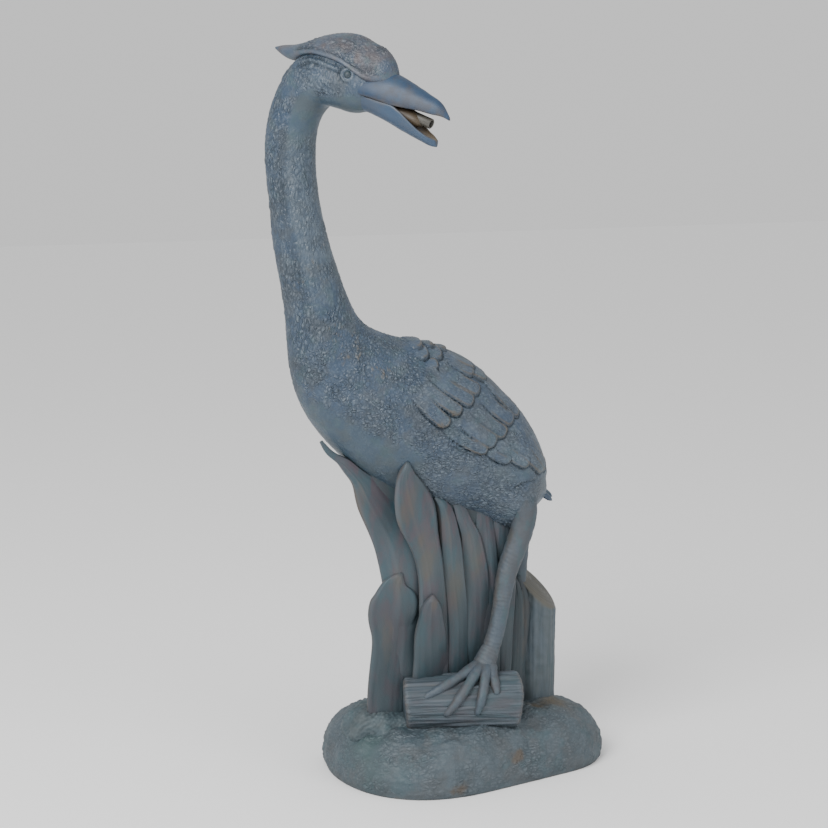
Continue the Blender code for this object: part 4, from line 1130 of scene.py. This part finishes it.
hood = piece("cap", [cap()], painted_resin(
    "painted_crown_resin", ground="#344355", dry="#666a6f", deep="#202932", patch="#464347",
    rub="#453f41", brush=0.9, brush_from=0.26, patch_mm=18, patch_amount=0.8, dab_mm=3.0,
    dab_stretch=(0.4, 1, 1), dab_turn=-HEAD_TURN, dab_depth=0.0014, roughness=0.46))
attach(hood, "root")
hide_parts("heron_statue")


# Eyes. A round eye under each brow, set in the lid ring of the skull. Cast with the head and
# painted a dark green, darkest in a ring round its pupil.
PUPIL = 0.45


def eye(side, rows=38, sides=40):
    """Eye: a ball set sideways into the head, darkest in a ring round its pupil."""
    place, out, height, radius = EYE
    turn = np.linspace(-0.5, 0.5, rows + 2)[1:-1] * math.pi
    path = np.stack([place + 0 * turn, side * (out + radius * np.sin(turn)), height + 0 * turn], 1)
    centres = placed(on_head(path[:, 0], path[:, 1], path[:, 2]))
    pupil = bell(np.cos(turn) - PUPIL, 0.22) * (np.sin(turn) > 0)
    return shell(tube(centres, radius * np.cos(turn) * FIGURE, sides),
                 raised=np.full((rows, sides), 0.1), green=np.full((rows, sides), 0.5),
                 sunk=np.broadcast_to(0.45 + 0.5 * pupil[:, None], (rows, sides)))


eyes = piece("eyes", [eye(1), eye(-1)], bpy.data.materials["painted_crown_resin"])
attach(eyes, "root")
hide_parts("heron_statue")


# Bill. Two hollowed mandibles that meet in a closed groove and part towards their tips, smooth
# horn outside and bare brownish resin inside, with the throat that grips the tube. The inside
# is painted darker towards the back of the mouth as painted shade. Cast with the head and
# painted a stronger blue.
UPPER_BILL = (
    (84, 623, 645, 19, 0.5),
    (97, 620, 645, 18.5, 0.5),
    (113, 614.5, 643, 16.5, 2),
    (129, 611, 635.5, 13.5, 3),
    (143, 608.5, 628, 10.5, 3),
    (155, 605.5, 621, 7.5, 2),
    (164, 603.5, 613.5, 4.3, 1),
    (170, 600.5, 604, 1.3, 0.3),
)
LOWER_BILL = (
    (82, 624, 608, 15, 0.5),
    (90, 622.5, 605.5, 16.3, 0.5),
    (99, 620, 601.5, 16.4, 0.5),
    (110, 617.5, 596.3, 15.4, 1),
    (118, 615, 592.3, 14.4, 6),
    (126, 609, 588.3, 13.6, 9),
    (136, 599, 583.8, 12, 7),
    (145, 590.8, 579.8, 9.8, 4),
    (152, 586, 577.2, 7, 2),
    (156.5, 583, 576.8, 3, 0.5),
)
BILL_RIM = 2.2
ARCH_SIDES = 61
THROAT_PLUG = (102.0, 143.0)
PLUG_HEIGHT = 613.5
PLUG_SLOPE = 0.37
PLUG_SIZE = (9.5, 8.0)


def mandible(table, rows=96):
    """Half of the bill: an arched outside and a hollow inside, joined by a rounded rim."""
    table = np.array(table, float)
    at = np.linspace(table[0, 0], table[-1, 0], rows)
    _, edge, crown, width, hollow = smooth(table[:, 0], table, at).T[:, :, None]
    turn = np.linspace(0, math.pi, ARCH_SIDES)[None, :]
    rise = crown - edge
    inner = np.maximum(width - BILL_RIM, width * 0.4)
    back = turn[:, ::-1][:, 4:-4]
    side = np.concatenate([width * np.cos(turn), inner * np.cos(back)], 1)
    height = np.concatenate([edge + rise * np.sin(turn) ** 0.85,
                             edge + np.sign(rise) * hollow * np.sin(back)], 1)
    for _ in range(3):
        side = (2 * side + np.roll(side, 1, 1) + np.roll(side, -1, 1)) / 4
        height = (2 * height + np.roll(height, 1, 1) + np.roll(height, -1, 1)) / 4
    number = np.arange(side.shape[1])
    inside = 1.0 * (number >= ARCH_SIDES)[None, :] + 0 * at[:, None]
    rim = bell(number, 3.0) + bell(number - (ARCH_SIDES - 1), 3.0)
    drawn = at_points(at[:, None], side, height)
    ripple = 0.25 * drift(drawn, 6.0, 3) * (1 - inside)
    height = height + np.sign(rise) * ripple
    brown = 0.5 + 0.5 * drift(drawn / (1.6, 1, 1), 5.0, 5)
    return shell(placed(on_head(at[:, None] + 0 * side, side, height)), inner=inside,
                 # Painted shade: the inside darkens towards the back of the mouth.
                 gape=inside * (1 - 0.95 * step(at[:, None], 128, 154)),
                 # Painted light: the lower mandible is dry-brushed lighter to lift the shade it sits
                 # in.
                 raised=0.25 + 0.2 * brown + 0.5 * (rise < 0),
                 rubbed=0.85 * rim * (0.3 + 0.7 * brown) + 0.25 * step(at[:, None], 140, 165) * brown)


def throat(rows=30, sides=40):
    """Throat: a blunt plug between the mandibles, as rings whose width and height fall to its
    round front. Its back is painted darker as shade deep in the mouth."""
    share = np.linspace(0, 1, rows)[:, None]
    turn = turns(sides)
    blunt = np.sqrt(held(1.0001 - share ** 7))
    at = THROAT_PLUG[0] + (THROAT_PLUG[1] - THROAT_PLUG[0]) * share
    middle = PLUG_HEIGHT - PLUG_SLOPE * (at - THROAT_PLUG[0])
    rings = on_head(at + 0 * turn, PLUG_SIZE[0] * blunt * np.cos(turn),
                    middle + PLUG_SIZE[1] * blunt * np.sin(turn))
    return shell(placed(rings), inner=np.ones((rows, sides)),
                 gape=0.9 - 0.6 * step(share, 0.55, 1.0) + 0 * turn)


bill = piece("bill", [mandible(UPPER_BILL), mandible(LOWER_BILL), throat()], painted_resin(
    "painted_bill_resin", ground="#20344b", dry="#43556a", deep="#1d272f", patch="#33343a",
    rub="#48433f", teal="#1c3850", mouth="#4f4536", brush=0.5, patch_mm=20, patch_amount=0.75,
    grain=0.02, roughness=0.46, gloss=0.42))
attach(bill, "root")
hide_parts("heron_statue")


# Water tube. A short length of grey nylon tube that throws the jet. It is extruded, cut square
# and glued into a seat bored in the throat.
TUBE_RADIUS = 0.0048
TUBE_BORE = 0.0033
TUBE_SHOWN = 0.042
TUBE_ENTRY = (112.0, 612.0)
TUBE_SLOPE = math.radians(-20.5)
SEAT_DEPTH = 0.014
SEAT_CLEARANCE = 0.0003
TUBE_CHAMFER = 0.0005


def turned(profile, start, ahead, sides=64):
    """Ring turned round the line from start: its profile is distance along and radius, and it
    closes on itself."""
    profile = np.array(profile, float)
    ahead = np.array(ahead, float)
    side = unit(np.cross(ahead, (0.0, 0.0, 1.0)))
    top = np.cross(side, ahead)
    turn = turns(sides).T[..., None]
    grid = (np.array(start) + profile[None, :, :1] * ahead
            + profile[None, :, 1:] * (np.cos(turn) * side + np.sin(turn) * top))
    steps, count = grid.shape[:2]
    first = np.arange(steps * count).reshape(steps, count)
    ahead_of = np.roll(first, -1, 0)
    quads = np.stack([first, np.roll(first, -1, 1), np.roll(ahead_of, -1, 1), ahead_of], -1)
    points = grid.reshape(-1, 3)
    return points, *outward(points, quads.reshape(-1, 4), np.zeros((0, 3), int)), {}


def nylon(name, colour, roughness, streak_mm):
    """Nylon, extruded or moulded: a plain body colour with faint cloudiness and a satin skin,
    with painted shade where it is shut in, in the bore and where it enters the casting.
    """
    made, tree, shader, place = fresh_material(name)
    cloud = add(tree, "ShaderNodeTexNoise", {
        "Vector": place, "Scale": 1000 / streak_mm, "Detail": 3.0})
    shade = ramp(tree, cloud, 0.3, 0.7, 0.85, 1.1, soft=False)
    colour = add(tree, "ShaderNodeVectorMath", {0: linear(colour)[:3], "Scale": shade},
                 operation="SCALE")
    # Painted shade in the bore and wherever the nylon is shut in.
    open_air = add(tree, "ShaderNodeAmbientOcclusion", {"Distance": 0.008}, "AO", samples=6)
    colour = coat(tree, colour, ramp(tree, open_air, 0.62, 0.3, soft=False), "#191714")
    tree.links.new(colour, shader.inputs["Base Color"])
    tree.links.new(ramp(tree, cloud, 0.0, 1.0, roughness - 0.05, roughness + 0.1, soft=False),
                   shader.inputs["Roughness"])
    bump = add(tree, "ShaderNodeBump", {"Height": cloud, "Distance": 0.0001, "Strength": 0.3})
    tree.links.new(bump, shader.inputs["Normal"])
    return made


tube_ahead = on_head(math.cos(TUBE_SLOPE), 0.0, math.sin(TUBE_SLOPE)) - on_head(0.0, 0.0, 0.0)
tube_mouth = placed(on_head(TUBE_ENTRY[0], 0.0, TUBE_ENTRY[1]))
tube_back = tube_mouth - SEAT_DEPTH * tube_ahead
tube_length = SEAT_DEPTH + TUBE_SHOWN
water_tube = piece("water_tube", [turned((
    (SEAT_CLEARANCE, TUBE_BORE), (SEAT_CLEARANCE, TUBE_RADIUS),
    (tube_length - TUBE_CHAMFER, TUBE_RADIUS), (tube_length, TUBE_RADIUS - TUBE_CHAMFER),
    (tube_length, TUBE_BORE + TUBE_CHAMFER), (tube_length - TUBE_CHAMFER, TUBE_BORE)),
    tube_back, tube_ahead)], nylon("extruded_nylon", "#484641", 0.4, 6))
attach(water_tube, "root")
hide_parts("water_nozzle")


# Hose tail. A barbed inlet of black moulded nylon, glued into the back of the rock, that the
# pump's hose pushes on to.
HOSE_RADIUS = 0.0065
HOSE_BORE = 0.0042
HOSE_SHOWN = 0.026
HOSE_HEIGHT = 0.019
HOSE_CHAMFER = 0.0004
BARB_RISE = 0.0013
BARB_CHAMFER = 0.0002
BARB_RUN = 0.2
BARB_STARTS = (0.7, 0.47, 0.24)

rock_back = float(rock_edge(96)[:, 1].max())
hose_mouth = np.array((0.0, rock_back, HOSE_HEIGHT))
hose_ahead = np.array((0.0, 1.0, 0.0))
hose_back = hose_mouth - hose_ahead * 2 * SEAT_DEPTH
hose_length = 2 * SEAT_DEPTH + HOSE_SHOWN
barbs = [(SEAT_CLEARANCE, HOSE_BORE), (SEAT_CLEARANCE, HOSE_RADIUS)]
for share in BARB_STARTS:
    start = hose_length - HOSE_SHOWN * share
    barbs += [(start, HOSE_RADIUS), (start, HOSE_RADIUS + BARB_RISE - BARB_CHAMFER),
              (start + BARB_CHAMFER, HOSE_RADIUS + BARB_RISE),
              (start + BARB_RUN * HOSE_SHOWN, HOSE_RADIUS)]
barbs += [(hose_length - HOSE_CHAMFER, HOSE_RADIUS), (hose_length, HOSE_RADIUS - HOSE_CHAMFER),
          (hose_length, HOSE_BORE)]
hose_tail = piece("hose_tail", [turned(barbs, hose_back, hose_ahead)],
                  nylon("moulded_nylon", "#242426", 0.45, 5), sharp=math.radians(30))
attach(hose_tail, "root")
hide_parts("hose_inlet")


# Studio. A pale floor and a world that brightens upwards, a broad soft key from the upper left
# and a fill, and a camera that looks slightly down on the bird's left side from in front of
# its breast.
CAMERA_AZIMUTH = -20
CAMERA_ELEVATION = 10
CAMERA_DISTANCE = 2.0
CAMERA_TARGET = np.array((-0.0616, -0.0057, 0.372))
CAMERA_LENS = 88.0
CAMERA_SENSOR = 36.0
FLOOR_HALF = 6.0
SKY = (0.8, 0.93)
LAMPS = (("key", -50, 36, 2.2, 1.1, 52), ("fill", 28, 22, 2.4, 1.4, 12))

floor_mesh = bpy.data.meshes.new("floor")
floor_mesh.from_pydata([(-FLOOR_HALF, -FLOOR_HALF, 0), (FLOOR_HALF, -FLOOR_HALF, 0),
                        (FLOOR_HALF, FLOOR_HALF, 0), (-FLOOR_HALF, FLOOR_HALF, 0)], [],
                       [(0, 1, 2, 3)])
floor = stand("floor", floor_mesh)
paper = bpy.data.materials.new("white_paper")
paper.use_nodes = True
skin = paper.node_tree.nodes["Principled BSDF"].inputs
skin["Base Color"].default_value = linear("#f4f4f4")
skin["Roughness"].default_value = 1.0
skin["Specular IOR Level"].default_value = 0.0
floor_mesh.materials.append(paper)

world = bpy.data.worlds.new("studio")
world.use_nodes = True
sky = world.node_tree
upward = sky.nodes.new("ShaderNodeSeparateXYZ")
sky.links.new(add(sky, "ShaderNodeTexCoord", {}, "Generated"), upward.inputs[0])
sky.links.new(ramp(sky, upward.outputs[2], 0.0, 0.7, *SKY, soft=False),
              sky.nodes["Background"].inputs["Strength"])
sky.nodes["Background"].inputs["Color"].default_value = (1.0, 1.0, 1.0, 1.0)
bpy.context.scene.world = world


def aimed(name, data, azimuth, elevation, distance):
    """Lamp or camera that faces the camera's target."""
    azimuth, elevation = math.radians(azimuth), math.radians(elevation)
    holder = stand(name, data)
    holder.location = CAMERA_TARGET + distance * np.array((
        math.sin(azimuth) * math.cos(elevation), -math.cos(azimuth) * math.cos(elevation),
        math.sin(elevation)))
    holder.rotation_euler = (math.pi / 2 - elevation, 0.0, azimuth)
    return holder


for name, azimuth, elevation, distance, size, power in LAMPS:
    light = bpy.data.lights.new(name, "AREA")
    light.shape = "SQUARE"
    light.size = size
    light.energy = power
    aimed(name, light, azimuth, elevation, distance)

camera = aimed("camera", bpy.data.cameras.new("camera"), CAMERA_AZIMUTH, CAMERA_ELEVATION,
               CAMERA_DISTANCE)
camera.data.lens = CAMERA_LENS
camera.data.sensor_width = CAMERA_SENSOR
bpy.context.scene.camera = camera
